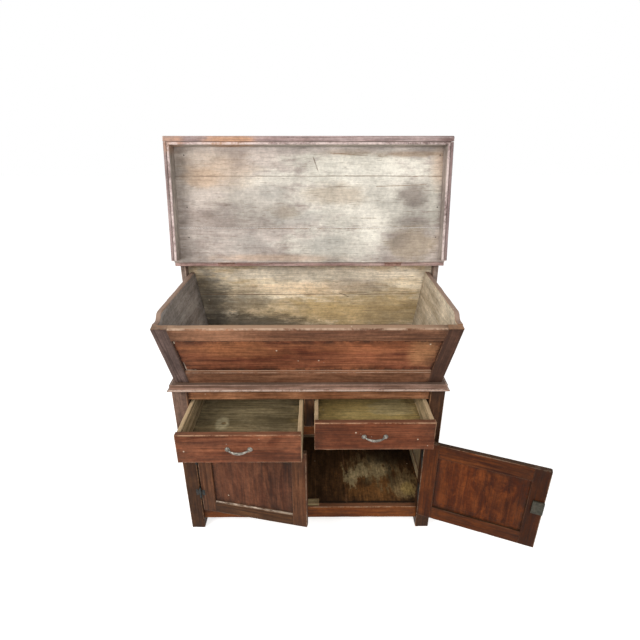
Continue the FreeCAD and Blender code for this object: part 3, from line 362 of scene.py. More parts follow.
class Web:
    """Adds nodes to one node tree and links them."""

    def __init__(self, tree):
        self.tree = tree

    def feed(self, socket, value):
        """Links another node's socket to this one, or sets a plain value on it."""
        if isinstance(value, bpy.types.NodeSocket):
            self.tree.links.new(value, socket)
        else:
            socket.default_value = value

    def add(self, kind, settings=None, **inputs):
        """A node with its settings, and inputs by name with _ for a space."""
        node = self.tree.nodes.new(kind)
        for key, value in (settings or {}).items():
            setattr(node, key, value)
        for key, value in inputs.items():
            self.feed(node.inputs[key.replace("_", " ")], value)
        return node

    def math(self, operation, first, second=0.5, third=0.5, clamp=False):
        node = self.add("ShaderNodeMath", {"operation": operation, "use_clamp": clamp})
        for socket, value in zip(node.inputs, (first, second, third)):
            self.feed(socket, value)
        return node.outputs[0]

    def vector(self, operation, first, second=None, output=0):
        node = self.add("ShaderNodeVectorMath", {"operation": operation})
        self.feed(node.inputs[0], first)
        if second is not None:
            self.feed(node.inputs[1], second)
        return node.outputs[output]

    def mix(self, share, first, second, blend="MIX"):
        """Two colours mixed. The colour sockets of a Mix node are its inputs 6 and 7 and output 2."""
        node = self.add("ShaderNodeMix", {"data_type": "RGBA", "blend_type": blend})
        for index, value in ((0, share), (6, first), (7, second)):
            self.feed(node.inputs[index], value)
        return node.outputs[2]

    def remap(self, value, low, high, to_low=0.0, to_high=1.0):
        """A smooth step from to_low where the value is low to to_high where it is high."""
        node = self.add("ShaderNodeMapRange", {"interpolation_type": "SMOOTHSTEP"})
        for socket, amount in zip(node.inputs, (value, low, high, to_low, to_high)):
            self.feed(socket, amount)
        return node.outputs[0]

    def noise(self, vector, scale, detail=3.0, roughness=0.55, distortion=0.0):
        node = self.add("ShaderNodeTexNoise", Vector=vector, Scale=scale, Detail=detail,
                        Roughness=roughness, Distortion=distortion)
        return node.outputs[0]

    def drawn_noise(self, timber, length, width, *settings):
        """Noise drawn out along the grain: length and width are repeats per metre."""
        return self.noise(self.vector("MULTIPLY", timber, (length, width, width)), 1.0, *settings)

    def streaks(self, timber, length, width, low, high, detail=4.0):
        """Streaks along the grain, from nothing where the drawn-out noise is low to full where it is high."""
        return self.remap(self.drawn_noise(timber, length, width, detail, STREAK_ROUGHNESS), low, high)

    def group(self, tree, **inputs):
        node = self.add("ShaderNodeGroup", {"node_tree": tree})
        for key, value in inputs.items():
            self.feed(node.inputs[key], value)
        return node.outputs

    def attribute(self, name, output="Fac"):
        return self.add("ShaderNodeAttribute", {"attribute_name": name}).outputs[output]

    def object_place(self):
        return self.add("ShaderNodeTexCoord").outputs["Object"]


VALUE, VECTOR = "NodeSocketFloat", "NodeSocketVector"


def new_group(name, inputs, outputs):
    """An empty node group, with its web, its group inputs and its group outputs."""
    tree = bpy.data.node_groups.new(name, "ShaderNodeTree")
    for socket, kind in inputs.items():
        tree.interface.new_socket(socket, in_out="INPUT", socket_type=kind)
    for socket in outputs:
        tree.interface.new_socket(socket, in_out="OUTPUT", socket_type=VALUE)
    return tree, Web(tree), tree.nodes.new("NodeGroupInput").outputs, tree.nodes.new("NodeGroupOutput").inputs


# Drawn-out noises: repeats per metre along and across the grain, detail, roughness and distortion
SWAY, CURL, TEAR = (1.2, 7.0, 3.0, 0.5, 0.3), (5.0, 16.0, 5.0, 0.6, 1.3), (12.0, 36.0, 8.0, 0.7)
# Streaks: repeats per metre, the noise levels where one begins and is full, and detail
STREAK_ROUGHNESS = 0.6
FIGURE_STREAKS, PALE_STREAKS = (1.5, 13.0, 0.3, 0.7), (2.6, 75.0, 0.48, 0.74)
DARK_STREAKS, FINE_LINES = (3.4, 105.0, 0.5, 0.72), (8.0, 200.0, 0.3, 0.7)
SPLIT_LINES, PORE_LINES = (5.0, 135.0, 0.64, 0.7, 6.0), (30.0, 500.0, 0.6, 0.72, 1.0)
RING_REPEATS, RING_SWAY, RING_SHARE = 110.0, 34.0, 0.16
OTHER_PART, CURL_BAND = (5.3, 1.7, 2.9), (0.4, 0.64)
FINE_RISE, FIGURE_RISE, SPLIT_FALL, DARK_FALL = 0.5, 0.3, 0.6, 0.4


def grain_group():
    """Broad figure, streaks, swirls, fine lines, splits and pores of a board, from a point's place in its
    grain."""
    names = ("Figure", "Pale", "Dark", "Fine", "Swirl", "Splits", "Pores", "Torn", "Height")
    tree, web, given, result = new_group("timber_grain", {"Timber": VECTOR}, names)
    timber = given["Timber"]
    shifted = web.vector("ADD", timber, OTHER_PART)
    across = web.add("ShaderNodeSeparateXYZ", Vector=timber).outputs[1]
    sway = web.math("MULTIPLY", web.drawn_noise(timber, *SWAY), RING_SWAY)
    rings = web.math("SINE", web.math("MULTIPLY_ADD", across, RING_REPEATS, sway))
    figure = web.math("MULTIPLY_ADD", rings, RING_SHARE, web.streaks(timber, *FIGURE_STREAKS))
    dark = web.streaks(shifted, *DARK_STREAKS)
    fine = web.streaks(timber, *FINE_LINES)
    splits = web.streaks(shifted, *SPLIT_LINES)
    rise = web.math("MULTIPLY_ADD", fine, FINE_RISE, web.math("MULTIPLY", figure, FIGURE_RISE))
    fall = web.math("MULTIPLY_ADD", splits, SPLIT_FALL, web.math("MULTIPLY", dark, DARK_FALL))
    swirl = web.remap(web.drawn_noise(shifted, *CURL), *CURL_BAND)
    values = (figure, web.streaks(timber, *PALE_STREAKS), dark, fine, swirl, splits,
              web.streaks(timber, *PORE_LINES), web.drawn_noise(timber, *TEAR),
              web.math("SUBTRACT", rise, fall))
    for name, value in zip(names, values):
        web.feed(result[name], value)
    return tree


# Noises in place: repeats per metre, detail and roughness
BROAD_WEAR, FINE_WEAR = (14.0, 3.0, 0.6), (120.0, 3.0, 0.65)
BROAD_SHARE, FINE_SHARE, WEAR_BAND = 0.65, 0.45, (0.42, 0.66)


def wear_group():
    """Where arrises are rubbed bare: the arris weight, broken up by noise of two sizes."""
    tree, web, given, result = new_group(
        "arris_wear", {"Place": VECTOR, "Edge": VALUE, "Amount": VALUE}, ("Mask",))
    fine = web.math("MULTIPLY", web.noise(given["Place"], *FINE_WEAR), FINE_SHARE)
    broken = web.math("MULTIPLY_ADD", web.noise(given["Place"], *BROAD_WEAR), BROAD_SHARE, fine)
    rubbed = web.math("MULTIPLY", given["Edge"], web.remap(broken, *WEAR_BAND))
    web.feed(result["Mask"], web.math("MULTIPLY", rubbed, given["Amount"], clamp=True))
    return tree


def blotch_group():
    """One blotch: how far a point is inside an ellipsoid whose edge is torn by the board's noise."""
    inputs = {"Place": VECTOR, "Torn": VALUE, "Centre": VECTOR, "Reach": VECTOR, "Ragged": VALUE,
              "Soft": VALUE}
    tree, web, given, result = new_group("blotch", inputs, ("Mask",))
    apart = web.vector("DIVIDE", web.vector("SUBTRACT", given["Place"], given["Centre"]), given["Reach"])
    distance = web.vector("LENGTH", apart, output="Value")
    tear = web.math("MULTIPLY", web.math("SUBTRACT", given["Torn"], 0.5), given["Ragged"])
    web.feed(result["Mask"], web.remap(web.math("ADD", distance, tear), web.math("ADD", 1.0, given["Soft"]),
                                       web.math("SUBTRACT", 1.0, given["Soft"])))
    return tree


SCRATCH_CORE = 0.4


def scratch_group():
    """A thin line between two points: how near a point is to that line, in widths."""
    tree, web, given, result = new_group(
        "scratch", {"Place": VECTOR, "From": VECTOR, "To": VECTOR, "Width": VALUE}, ("Mask",))
    line = web.vector("SUBTRACT", given["To"], given["From"])
    apart = web.vector("SUBTRACT", given["Place"], given["From"])
    share = web.math("DIVIDE", web.vector("DOT_PRODUCT", apart, line, "Value"),
                     web.vector("DOT_PRODUCT", line, line, "Value"), clamp=True)
    scale = web.add("ShaderNodeVectorMath", {"operation": "SCALE"}, Scale=share)
    web.feed(scale.inputs[0], line)
    distance = web.vector("LENGTH", web.vector("SUBTRACT", apart, scale.outputs[0]), output="Value")
    web.feed(result["Mask"], web.remap(web.math("DIVIDE", distance, given["Width"]), 1.0, SCRATCH_CORE))
    return tree


FLECK_CELLS, FLECK_BAND = 55.0, (0.2, 0.1)


def fleck_group():
    """Small pale flecks: the middles of cells, kept only in a share of them."""
    tree, web, given, result = new_group("flecks", {"Place": VECTOR, "Amount": VALUE}, ("Mask",))
    cells = web.add("ShaderNodeTexVoronoi", Vector=given["Place"], Scale=FLECK_CELLS)
    spots = web.remap(cells.outputs["Distance"], *FLECK_BAND)
    lot = web.add("ShaderNodeSeparateColor", Color=cells.outputs["Color"]).outputs[0]
    web.feed(result["Mask"], web.math("MULTIPLY", spots, web.math("LESS_THAN", lot, given["Amount"])))
    return tree


GRAIN, WEAR, BLOTCH = grain_group(), wear_group(), blotch_group()
SCRATCH, FLECKS = scratch_group(), fleck_group()


# Finishes

CLOUD, CLOUD_BAND, CLOUD_SPAN = (6.0, 5.0, 0.62), (0.3, 0.7), (0.76, 1.22)
MOTTLE, MOTTLE_BAND = (70.0, 6.0, 0.75), (0.3, 0.7)
GRIME_AND_SHADE, GRIME_AND_SHADE_BAND = (30.0, 4.0, 0.7), (0.35, 0.6)
PALE_SHARE, DARK_SHARE, DARKER = 0.7, 0.75, 0.5
LINE_DARKER, LINE_LIGHTER = 0.24, 0.2
SCRATCH_BAND, SCRATCH_SHARE = (0.36, 0.56), 0.85
FLECK_TONE, FLECK_SHARE = (0.55, 0.45, 0.34), 0.8
GRAIN_RELIEF, CAST_RELIEF = 0.8 * MM, 0.4 * MM
PATINA, PATINA_BAND = (90.0, 5.0, 0.65), (0.35, 0.7)
RUST, RUST_BAND, RUST_TONE = (40.0, 4.0, 0.6), (0.5, 0.7), (0.12, 0.05, 0.025)
CAST, CAST_STRENGTH, DULLER = (260.0, 4.0, 0.6), 0.3, 0.12


def colour(tone):
    """A tone with full alpha."""
    return (*tone, 1.0)


def new_material(name):
    """An empty material, with its web and its shader."""
    material = bpy.data.materials.new(name)
    material.use_nodes = True
    return material, Web(material.node_tree), material.node_tree.nodes["Principled BSDF"]


def tones(web, grain, streaky, swirly, dark, mid, light):
    """Board colour: dark to mid by the figure, then light swirls and streaks and dark streaks along the
    grain."""
    base = web.mix(grain["Figure"], colour(dark), colour(mid))
    base = web.mix(web.math("MULTIPLY", grain["Swirl"], swirly), base, colour(light))
    base = web.mix(web.math("MULTIPLY", grain["Pale"], PALE_SHARE * streaky), base, colour(light))
    darker = colour([DARKER * part for part in dark])
    return web.mix(web.math("MULTIPLY", grain["Dark"], DARK_SHARE * streaky), base, darker)


def marked(web, tint, place, torn, shown, blotches, scratches):
    """Lays blotches and then scratches over a colour, where they are shown."""
    for centre, reach, ragged, soft, paint, strength in blotches:
        mask = web.group(BLOTCH, Place=place, Torn=torn, Centre=centre, Reach=reach, Ragged=ragged,
                         Soft=soft)["Mask"]
        share = web.math("MULTIPLY", web.math("MULTIPLY", mask, strength), shown)
        tint = web.mix(share, tint, colour(paint))
    for begin, end, width, paint in scratches:
        mask = web.group(SCRATCH, Place=place, From=begin, To=end, Width=width)["Mask"]
        broken = web.math("MULTIPLY", web.math("MULTIPLY", mask, shown), web.remap(torn, *SCRATCH_BAND))
        tint = web.mix(web.math("MULTIPLY", broken, SCRATCH_SHARE), tint, colour(paint))
    return tint


def timber(name, dark, mid, light, inner=None, outer=None, worn=(0.36, 0.19, 0.1), wear=0.6,
           soil_and_shade=(0.022, 0.012, 0.008), soiled_and_shaded=0.6, top=(0.3, 0.18, 0.12), dusty=0.3, flecks=0.015,
           rough=(0.45, 0.65), shine=0.1, split=0.35, relief=0.4, blotches=(), scratches=(), streaky=1.0,
           swirly=0.35, mottled=0.18, grooved=0.8, on_board=True, marks_inside=False):
    """A stained or bare board. blotches are (centre, reach, ragged, soft, colour, strength) and scratches
    (from, to, width, colour), in the cupboard's frame; marks_inside keeps them to the inner face."""
    material, web, shader = new_material(name)
    place = web.object_place()
    grain = web.group(GRAIN, Timber=web.attribute("timber", "Vector") if on_board else place)
    tint = tones(web, grain, streaky, swirly, dark, mid, light)
    for face, shades in (("inner", inner), ("outer", outer)):
        if shades:
            tint = web.mix(web.attribute(face), tint, tones(web, grain, streaky, swirly, *shades))
    shown = web.attribute("inner") if marks_inside else 1.0
    tint = marked(web, tint, place, grain["Torn"], shown, blotches, scratches)
    cloud = web.remap(web.noise(place, *CLOUD), *CLOUD_BAND, *CLOUD_SPAN)
    mottle = web.remap(web.noise(place, *MOTTLE), *MOTTLE_BAND, 1 - mottled, 1 + mottled)
    lines = web.remap(grain["Fine"], 0.0, 1.0, 1 - LINE_DARKER * streaky, 1 + LINE_LIGHTER * streaky)
    tint = web.mix(1.0, tint, web.math("MULTIPLY", web.math("MULTIPLY", cloud, mottle), lines), "MULTIPLY")
    cracks = web.math("MAXIMUM", grain["Splits"], grain["Pores"])
    tint = web.mix(web.math("MULTIPLY", cracks, split), tint, colour(soil_and_shade))
    if on_board:
        tint = web.mix(web.math("MULTIPLY", web.attribute("top"), dusty), tint, colour(top))
        # Grime and painted shade near ends and framed edges, and in hollows, all in one dark tone.
        grime_and_shade = web.math("MULTIPLY", web.attribute("soil_and_shade"), web.remap(web.noise(place, *GRIME_AND_SHADE), *GRIME_AND_SHADE_BAND))
        tint = web.mix(web.math("MULTIPLY", grime_and_shade, soiled_and_shaded), tint, colour(soil_and_shade))
        tint = web.mix(web.math("MULTIPLY", web.attribute("hollow"), grooved), tint, colour(soil_and_shade))
        rubbed = web.group(WEAR, Place=place, Edge=web.attribute("edge"), Amount=wear)["Mask"]
        tint = web.mix(rubbed, tint, colour(worn))
    dots = web.group(FLECKS, Place=place, Amount=flecks)["Mask"]
    tint = web.mix(web.math("MULTIPLY", dots, FLECK_SHARE), tint, colour(FLECK_TONE))
    web.feed(shader.inputs["Base Color"], tint)
    web.feed(shader.inputs["Roughness"], web.remap(grain["Fine"], 0.0, 1.0, *rough))
    shader.inputs["Specular IOR Level"].default_value = shine
    bump = web.add("ShaderNodeBump", Height=grain["Height"], Strength=relief, Distance=GRAIN_RELIEF)
    web.feed(shader.inputs["Normal"], bump.outputs[0])
    return material


def metal(name, tone, bright, rough, rust=0.0, gleam=0.8):
    """Old iron, steel or cast metal: two tones by noise, with rust-brown where a broad noise is high."""
    material, web, shader = new_material(name)
    place = web.object_place()
    cloud = web.remap(web.noise(place, *PATINA), *PATINA_BAND)
    tint = web.mix(cloud, colour(tone), colour(bright))
    rusty = web.math("MULTIPLY", web.remap(web.noise(place, *RUST), *RUST_BAND), rust)
    web.feed(shader.inputs["Base Color"], web.mix(rusty, tint, colour(RUST_TONE)))
    web.feed(shader.inputs["Metallic"], web.math("SUBTRACT", gleam, rusty, clamp=True))
    web.feed(shader.inputs["Roughness"], web.remap(cloud, 0.0, 1.0, rough + DULLER, rough))
    bump = web.add("ShaderNodeBump", Height=web.noise(place, *CAST), Strength=CAST_STRENGTH,
                   Distance=CAST_RELIEF)
    web.feed(shader.inputs["Normal"], bump.outputs[0])
    return material


# Marks are given as rows on one face: two places, two reaches, ragged, soft, colour and strength.

FACE_DEPTH, FLOOR_DEPTH, LID_DEPTH = 0.2, 0.1, 0.3


def upright(y, depth, *rows):
    """Blotches on an upright face at y, from rows that give x and z."""
    return tuple(((x, y, z), (wide, depth, tall), *rest) for x, z, wide, tall, *rest in rows)


def level(z, *rows):
    """Blotches on a level face at z, from rows that give x and y."""
    return tuple(((x, y, z), (wide, deep, FLOOR_DEPTH), *rest) for x, y, wide, deep, *rest in rows)


def on_lid(x, z):
    """The point of the open lid's inner face at x and height z: the height gives the run along the lid from
    its hinge, and the run gives y."""
    under = LID_LOW - LID_AXIS_Z
    run = (LID_AXIS_Z + under * math.cos(LID_OPEN) - z) / math.sin(LID_OPEN)
    return (x, LID_AXIS_Y + run * math.cos(LID_OPEN) + under * math.sin(LID_OPEN), z)


def on_door(side, *points):
    """Points of a closed door, carried to where it stands open."""
    return [tuple(point) for point in door_pose(side)(np.array(points))]


# Tones of a board: dark, mid and light
BARE_WOOD = ((0.15, 0.1, 0.058), (0.27, 0.185, 0.11), (0.4, 0.29, 0.185))
STRAW_INSIDE = ((0.36, 0.26, 0.145), (0.62, 0.48, 0.29), (0.82, 0.68, 0.46))
OLIVE_INSIDE = ((0.06, 0.045, 0.022), (0.14, 0.105, 0.052), (0.28, 0.215, 0.115))
RED_INSIDE = ((0.034, 0.0077, 0.0021), (0.078, 0.02, 0.0049), (0.16, 0.0455, 0.0107))
RED_PANEL_INSIDE = ((0.036, 0.0071, 0.0018), (0.085, 0.019, 0.0042), (0.21, 0.055, 0.0125))
GREY_INSIDE = ((0.26, 0.2, 0.13), (0.44, 0.36, 0.25), (0.6, 0.52, 0.4))
# Insides of the trough's sides: a darker, greyer copy for the left, painted shade, and a paler copy for the
# right, painted light
SHADED_LEFT_INSIDE = ((0.235, 0.206, 0.188), (0.37, 0.336, 0.312), (0.504, 0.472, 0.45))
LIT_RIGHT_INSIDE = ((0.42, 0.34, 0.235), (0.66, 0.56, 0.42), (0.84, 0.76, 0.62))
BACK_INSIDE = ((0.471, 0.369, 0.232), (0.781, 0.643, 0.458), (0.942, 0.858, 0.689))
LID_OUTSIDE = ((0.16, 0.075, 0.05), (0.28, 0.15, 0.11), (0.42, 0.27, 0.21))
LID_INSIDE = ((0.34, 0.285, 0.255), (0.46, 0.4, 0.365), (0.58, 0.525, 0.48))
LIP_INSIDE = ((0.36, 0.31, 0.27), (0.54, 0.48, 0.43), (0.66, 0.61, 0.56))
PALE_WORN, DARK_GAP, ORANGE_WEAR = (0.62, 0.5, 0.4), (0.012, 0.008, 0.006), (0.66, 0.36, 0.2)

POST = timber("post_stain", (0.03, 0.0126, 0.0064), (0.063, 0.0266, 0.0128), (0.12, 0.0555, 0.0257),
              soiled_and_shaded=0.8,
              blotches=upright(FRONT, 0.1, (-0.475, 0.62, 0.05, 0.1, 1.6, 0.5, (0.21, 0.135, 0.105), 0.6),
                               (0.475, 0.3, 0.06, 0.5, 1.0, 0.3, (0.028, 0.011, 0.005), 0.4)))
BASE_RAIL = timber("base_rail_stain", (0.08, 0.0204, 0.0044), (0.152, 0.0435, 0.0107), (0.24, 0.0782, 0.0203),
                   worn=(0.5, 0.36, 0.24), wear=0.7)
# The top rail under the cornice: a paler copy of the base rail's stain, painted light where the cornice
# shades it.
LIT_TOP_RAIL = timber("lit_top_rail_stain", (0.175, 0.0671, 0.0286), (0.33, 0.143, 0.0676), (0.515, 0.253, 0.13),
                  wear=0.3)
SIDE_FRAME = timber("side_frame_stain", (0.08, 0.03, 0.014), (0.16, 0.062, 0.03), (0.26, 0.11, 0.055),
                    inner=STRAW_INSIDE)
SIDE_PANEL = timber("side_panel_stain", (0.09, 0.028, 0.011), (0.17, 0.056, 0.024), (0.28, 0.105, 0.048),
                    inner=STRAW_INSIDE, soiled_and_shaded=0.8)
# The cornice wears pale strongly, which also paints the nose's highlight; its cove darkens with grime and
# painted shade.
CORNICE = timber("cornice_stain", (0.2, 0.1, 0.065), (0.38, 0.225, 0.165), (0.62, 0.42, 0.33), wear=1.5,
                 worn=(0.45, 0.34, 0.28), soil_and_shade=(0.07, 0.04, 0.028), top=(0.1, 0.07, 0.053), dusty=0.85,
                 soiled_and_shaded=0.3, grooved=0.9)

# Trough
TROUGH_RAIL_STAIN = timber(
    "trough_rail_stain", (0.104, 0.0427, 0.0213), (0.19, 0.0834, 0.0448), (0.304, 0.148, 0.0833),
    inner=GREY_INSIDE, top=(0.4, 0.27, 0.18), dusty=0.7, wear=0.8, worn=(0.5, 0.36, 0.26),
    blotches=upright(-0.31, 0.05, (-0.33, 0.925, 0.13, 0.03, 2.6, 0.5, (0.3, 0.15, 0.085), 0.5),
                     (0.1, 0.93, 0.3, 0.025, 2.6, 0.5, (0.12, 0.055, 0.034), 0.5)))
STILE_TOP = dict(inner=GREY_INSIDE, top=(0.36, 0.27, 0.2), dusty=0.6)
TROUGH_STILES = {
    LEFT: timber("grey_stile_stain", (0.06, 0.036, 0.03), (0.106, 0.071, 0.063), (0.17, 0.116, 0.1),
                 **STILE_TOP),
    RIGHT: timber("brown_stile_stain", (0.04, 0.0175, 0.0108), (0.071, 0.034, 0.0225), (0.114, 0.056, 0.036),
                  **STILE_TOP),
}
TROUGH_PANEL_STAIN = timber(
    "trough_panel_stain", (0.103, 0.0277, 0.0128), (0.188, 0.0622, 0.0325), (0.342, 0.13, 0.061),
    inner=GREY_INSIDE, soiled_and_shaded=0.95, flecks=0.05,
    blotches=upright(-0.27, FACE_DEPTH, (0.4, 0.85, 0.05, 0.06, 2.0, 0.5, (0.4, 0.2, 0.09), 0.6),
                     (-0.25, 0.86, 0.17, 0.035, 2.4, 0.5, (0.32, 0.13, 0.055), 0.5),
                     (0.0, 0.84, 0.1, 0.04, 2.6, 0.5, (0.085, 0.026, 0.013), 0.5),
                     (0.2, 0.87, 0.2, 0.03, 2.4, 0.5, (0.3, 0.11, 0.045), 0.4)),
    # The near-black line down the panel's left edge, by the stile, is a painted shadow; the two pale lines
    # are wear.
    scratches=(((-0.4392, -0.2513, 0.767), (-0.4575, -0.285, 0.898), 0.005, DARK_GAP),
               ((-0.434, -0.2513, 0.768), (-0.4385, -0.26, 0.8), 0.0025, PALE_WORN),
               ((-0.434, -0.2513, 0.767), (-0.4, -0.2513, 0.767), 0.002, PALE_WORN)))
DARK_GREY_PATCH, PALE_FLOUR, OCHRE = (0.085, 0.078, 0.066), (0.72, 0.66, 0.56), (0.46, 0.33, 0.15)
TROUGH_BACK = timber(
    "trough_back_wood", *BARE_WOOD, inner=BACK_INSIDE, marks_inside=True, soil_and_shade=(0.12, 0.09, 0.06), split=0.6,
    rough=(0.7, 0.85), shine=0.08, relief=0.7, worn=(0.5, 0.42, 0.3), wear=0.3, streaky=0.6, swirly=0.5,
    mottled=0.16,
    blotches=upright(BACK_FACE, FACE_DEPTH, (0.27, 0.79, 0.34, 0.085, 2.4, 0.4, OCHRE, 0.7),
                     (-0.05, 0.78, 0.25, 0.06, 2.4, 0.4, OCHRE, 0.45),
                     (0.05, 0.965, 0.48, 0.035, 3.0, 0.35, PALE_FLOUR, 0.6),
                     (-0.05, 0.9, 0.2, 0.03, 2.8, 0.5, (0.68, 0.49, 0.31), 0.45),
                     (0.2, 0.915, 0.14, 0.03, 3.2, 0.3, (0.4, 0.33, 0.28), 0.4),
                     # Dark grey patches over the left edge and along the lower left of the back.
                     (-0.45, 0.83, 0.08, 0.15, 2.8, 0.5, DARK_GREY_PATCH, 0.75),
                     (-0.28, 0.735, 0.28, 0.04, 2.8, 0.5, DARK_GREY_PATCH, 0.8),
                     (-0.3, 0.84, 0.12, 0.05, 4.0, 0.6, DARK_GREY_PATCH, 0.45)),
    scratches=(((0.13, BACK_FACE, 0.878), (0.17, BACK_FACE, 0.862), 0.003, (0.1, 0.07, 0.04)),))


def trough_side(name, inner, streaky):
    """The stain of a trough side, which differs only inside: darker on the left as painted shade, paler on
    the right as painted light.
    """
    return timber(name, (0.09, 0.038, 0.02), (0.17, 0.075, 0.042), (0.28, 0.13, 0.078), inner=inner,
                  streaky=streaky, rough=(0.6, 0.8), top=(0.4, 0.3, 0.24), dusty=0.7, split=0.4)


TROUGH_SIDES = {LEFT: trough_side("shaded_left_side_stain", SHADED_LEFT_INSIDE, 0.35),
                RIGHT: trough_side("lit_right_side_stain", LIT_RIGHT_INSIDE, 0.5)}
TROUGH_FLOOR = timber("trough_floor_wood", (0.22, 0.16, 0.09), (0.36, 0.28, 0.17), (0.5, 0.42, 0.28),
                      rough=(0.7, 0.85), shine=0.12, soil_and_shade=(0.08, 0.06, 0.04), split=0.5)
BATTEN_STAIN = timber("batten_stain", (0.2, 0.14, 0.11), (0.34, 0.26, 0.22), (0.46, 0.38, 0.33))

# Lid
STRIP_STAIN = timber("strip_stain", (0.36, 0.2, 0.175), (0.58, 0.41, 0.37), (0.76, 0.58, 0.55), wear=0.6,
                     split=0.2, worn=(0.6, 0.48, 0.44), soil_and_shade=(0.1, 0.06, 0.05), top=(0.5, 0.36, 0.33))
LID_RIM = timber("lid_rim_stain", (0.233, 0.154, 0.142), (0.373, 0.275, 0.266), (0.466, 0.38, 0.372),
                 split=0.2, inner=LIP_INSIDE, outer=LID_OUTSIDE, wear=1.4, worn=(0.67, 0.56, 0.53),
                 soil_and_shade=(0.1, 0.062, 0.058), top=(0.46, 0.34, 0.31), grooved=0.55,
                 blotches=(((-0.3, 0.25, 1.53), (0.1, LID_DEPTH, 0.05), 2.0, 0.4, ORANGE_WEAR, 0.7),
                           ((-0.53, 0.25, 1.52), (0.05, LID_DEPTH, 0.05), 1.0, 0.4, ORANGE_WEAR, 0.4),
                           ((0.56, 0.2, 1.3), (0.03, LID_DEPTH, 0.3), 1.0, 0.4, (0.2, 0.13, 0.13), 0.5)))
WHITE_PAINT, TAN_WASH, BLUE_GREY = (0.7, 0.675, 0.6), (0.58, 0.415, 0.3), (0.38, 0.37, 0.345)
SMOKE, TAN_SMUDGE, BROWN_CRACK = (0.2, 0.165, 0.145), (0.39, 0.32, 0.245), (0.24, 0.15, 0.085)
LID_BLOTCHES = tuple((on_lid(x, z), (wide, LID_DEPTH, tall), *rest) for x, z, wide, tall, *rest in (
    (0.239, 1.296, 0.29, 0.15, 2.4, 0.35, WHITE_PAINT, 0.8),
    (0.196, 1.417, 0.27, 0.06, 2.4, 0.35, WHITE_PAINT, 0.85),
    (0.118, 1.108, 0.2, 0.07, 2.4, 0.4, WHITE_PAINT, 0.75),
    (-0.19, 1.297, 0.14, 0.09, 2.6, 0.6, WHITE_PAINT, 0.4),
    (-0.091, 1.365, 0.18, 0.025, 2.6, 0.5, WHITE_PAINT, 0.6),
    (0.504, 1.318, 0.02, 0.15, 1.4, 0.5, WHITE_PAINT, 0.7),
    (-0.157, 1.32, 0.05, 0.032, 2.6, 0.6, BLUE_GREY, 0.45),
    (-0.045, 1.219, 0.1, 0.028, 2.6, 0.6, BLUE_GREY, 0.5),
    (0.06, 1.116, 0.075, 0.034, 2.8, 0.6, BLUE_GREY, 0.5),
    (-0.261, 1.117, 0.085, 0.042, 2.8, 0.6, BLUE_GREY, 0.35),
    (0.101, 1.311, 0.11, 0.04, 2.6, 0.5, TAN_SMUDGE, 0.65),
    (-0.094, 1.243, 0.05, 0.024, 2.6, 0.5, TAN_SMUDGE, 0.55),
    (-0.427, 1.377, 0.07, 0.034, 1.8, 0.6, TAN_WASH, 0.8),
    (-0.346, 1.396, 0.11, 0.05, 2.0, 0.7, TAN_WASH, 0.4),
    (-0.41, 1.41, 0.16, 0.1, 2.0, 0.7, TAN_SMUDGE, 0.4),
    (0.52, 1.42, 0.03, 0.08, 1.6, 0.6, TAN_WASH, 0.5),
    (-0.131, 1.06, 0.24, 0.013, 2.2, 0.6, TAN_WASH, 0.55),
    (0.416, 1.303, 0.056, 0.05, 2.2, 0.55, SMOKE, 0.8),
    (0.412, 1.202, 0.07, 0.024, 2.6, 0.6, SMOKE, 0.6),
    (0.42, 1.115, 0.1, 0.066, 2.2, 0.35, TAN_SMUDGE, 0.85),
    (0.37, 1.13, 0.045, 0.04, 2.6, 0.6, SMOKE, 0.4),
    (-0.411, 1.237, 0.042, 0.014, 2.2, 0.6, SMOKE, 0.5),
    (0.156, 1.468, 0.1, 0.012, 3.0, 0.5, BROWN_CRACK, 0.6),
    (0.394, 1.461, 0.12, 0.011, 3.0, 0.5, BROWN_CRACK, 0.65),
    # A pale band along the top of the lid's inner face: painted light against the shade of the front lip.
    (0.0, 1.505, 0.6, 0.03, 1.0, 0.7, (0.84, 0.76, 0.72), 0.7),
))
CRACK_WIDTH = 1.6 * MM
LID_CRACKS = tuple((on_lid(*begin), on_lid(*end), CRACK_WIDTH, BROWN_CRACK) for begin, end in (
    ((0.145, 1.381), (0.533, 1.377)), ((-0.21, 1.178), (0.29, 1.177)), ((0.27, 1.34), (0.471, 1.347)),
    ((0.167, 1.219), (0.273, 1.218)), ((0.0845, 1.465), (0.211, 1.457))))
LID_SCRATCH = (on_lid(0.017, 1.45), on_lid(0.041, 1.383), 0.003, (0.22, 0.17, 0.13))
LID_BOARD = timber("lid_board_stain", *LID_OUTSIDE, inner=LID_INSIDE, soil_and_shade=(0.16, 0.11, 0.07), soiled_and_shaded=0.3,
                   rough=(0.7, 0.85), shine=0.08, relief=0.6, split=0.5, worn=(0.5, 0.4, 0.3), wear=0.3,
                   flecks=0.01, streaky=0.3, swirly=0.6, mottled=0.14, blotches=LID_BLOTCHES,
                   scratches=(LID_SCRATCH,) + LID_CRACKS, marks_inside=True)

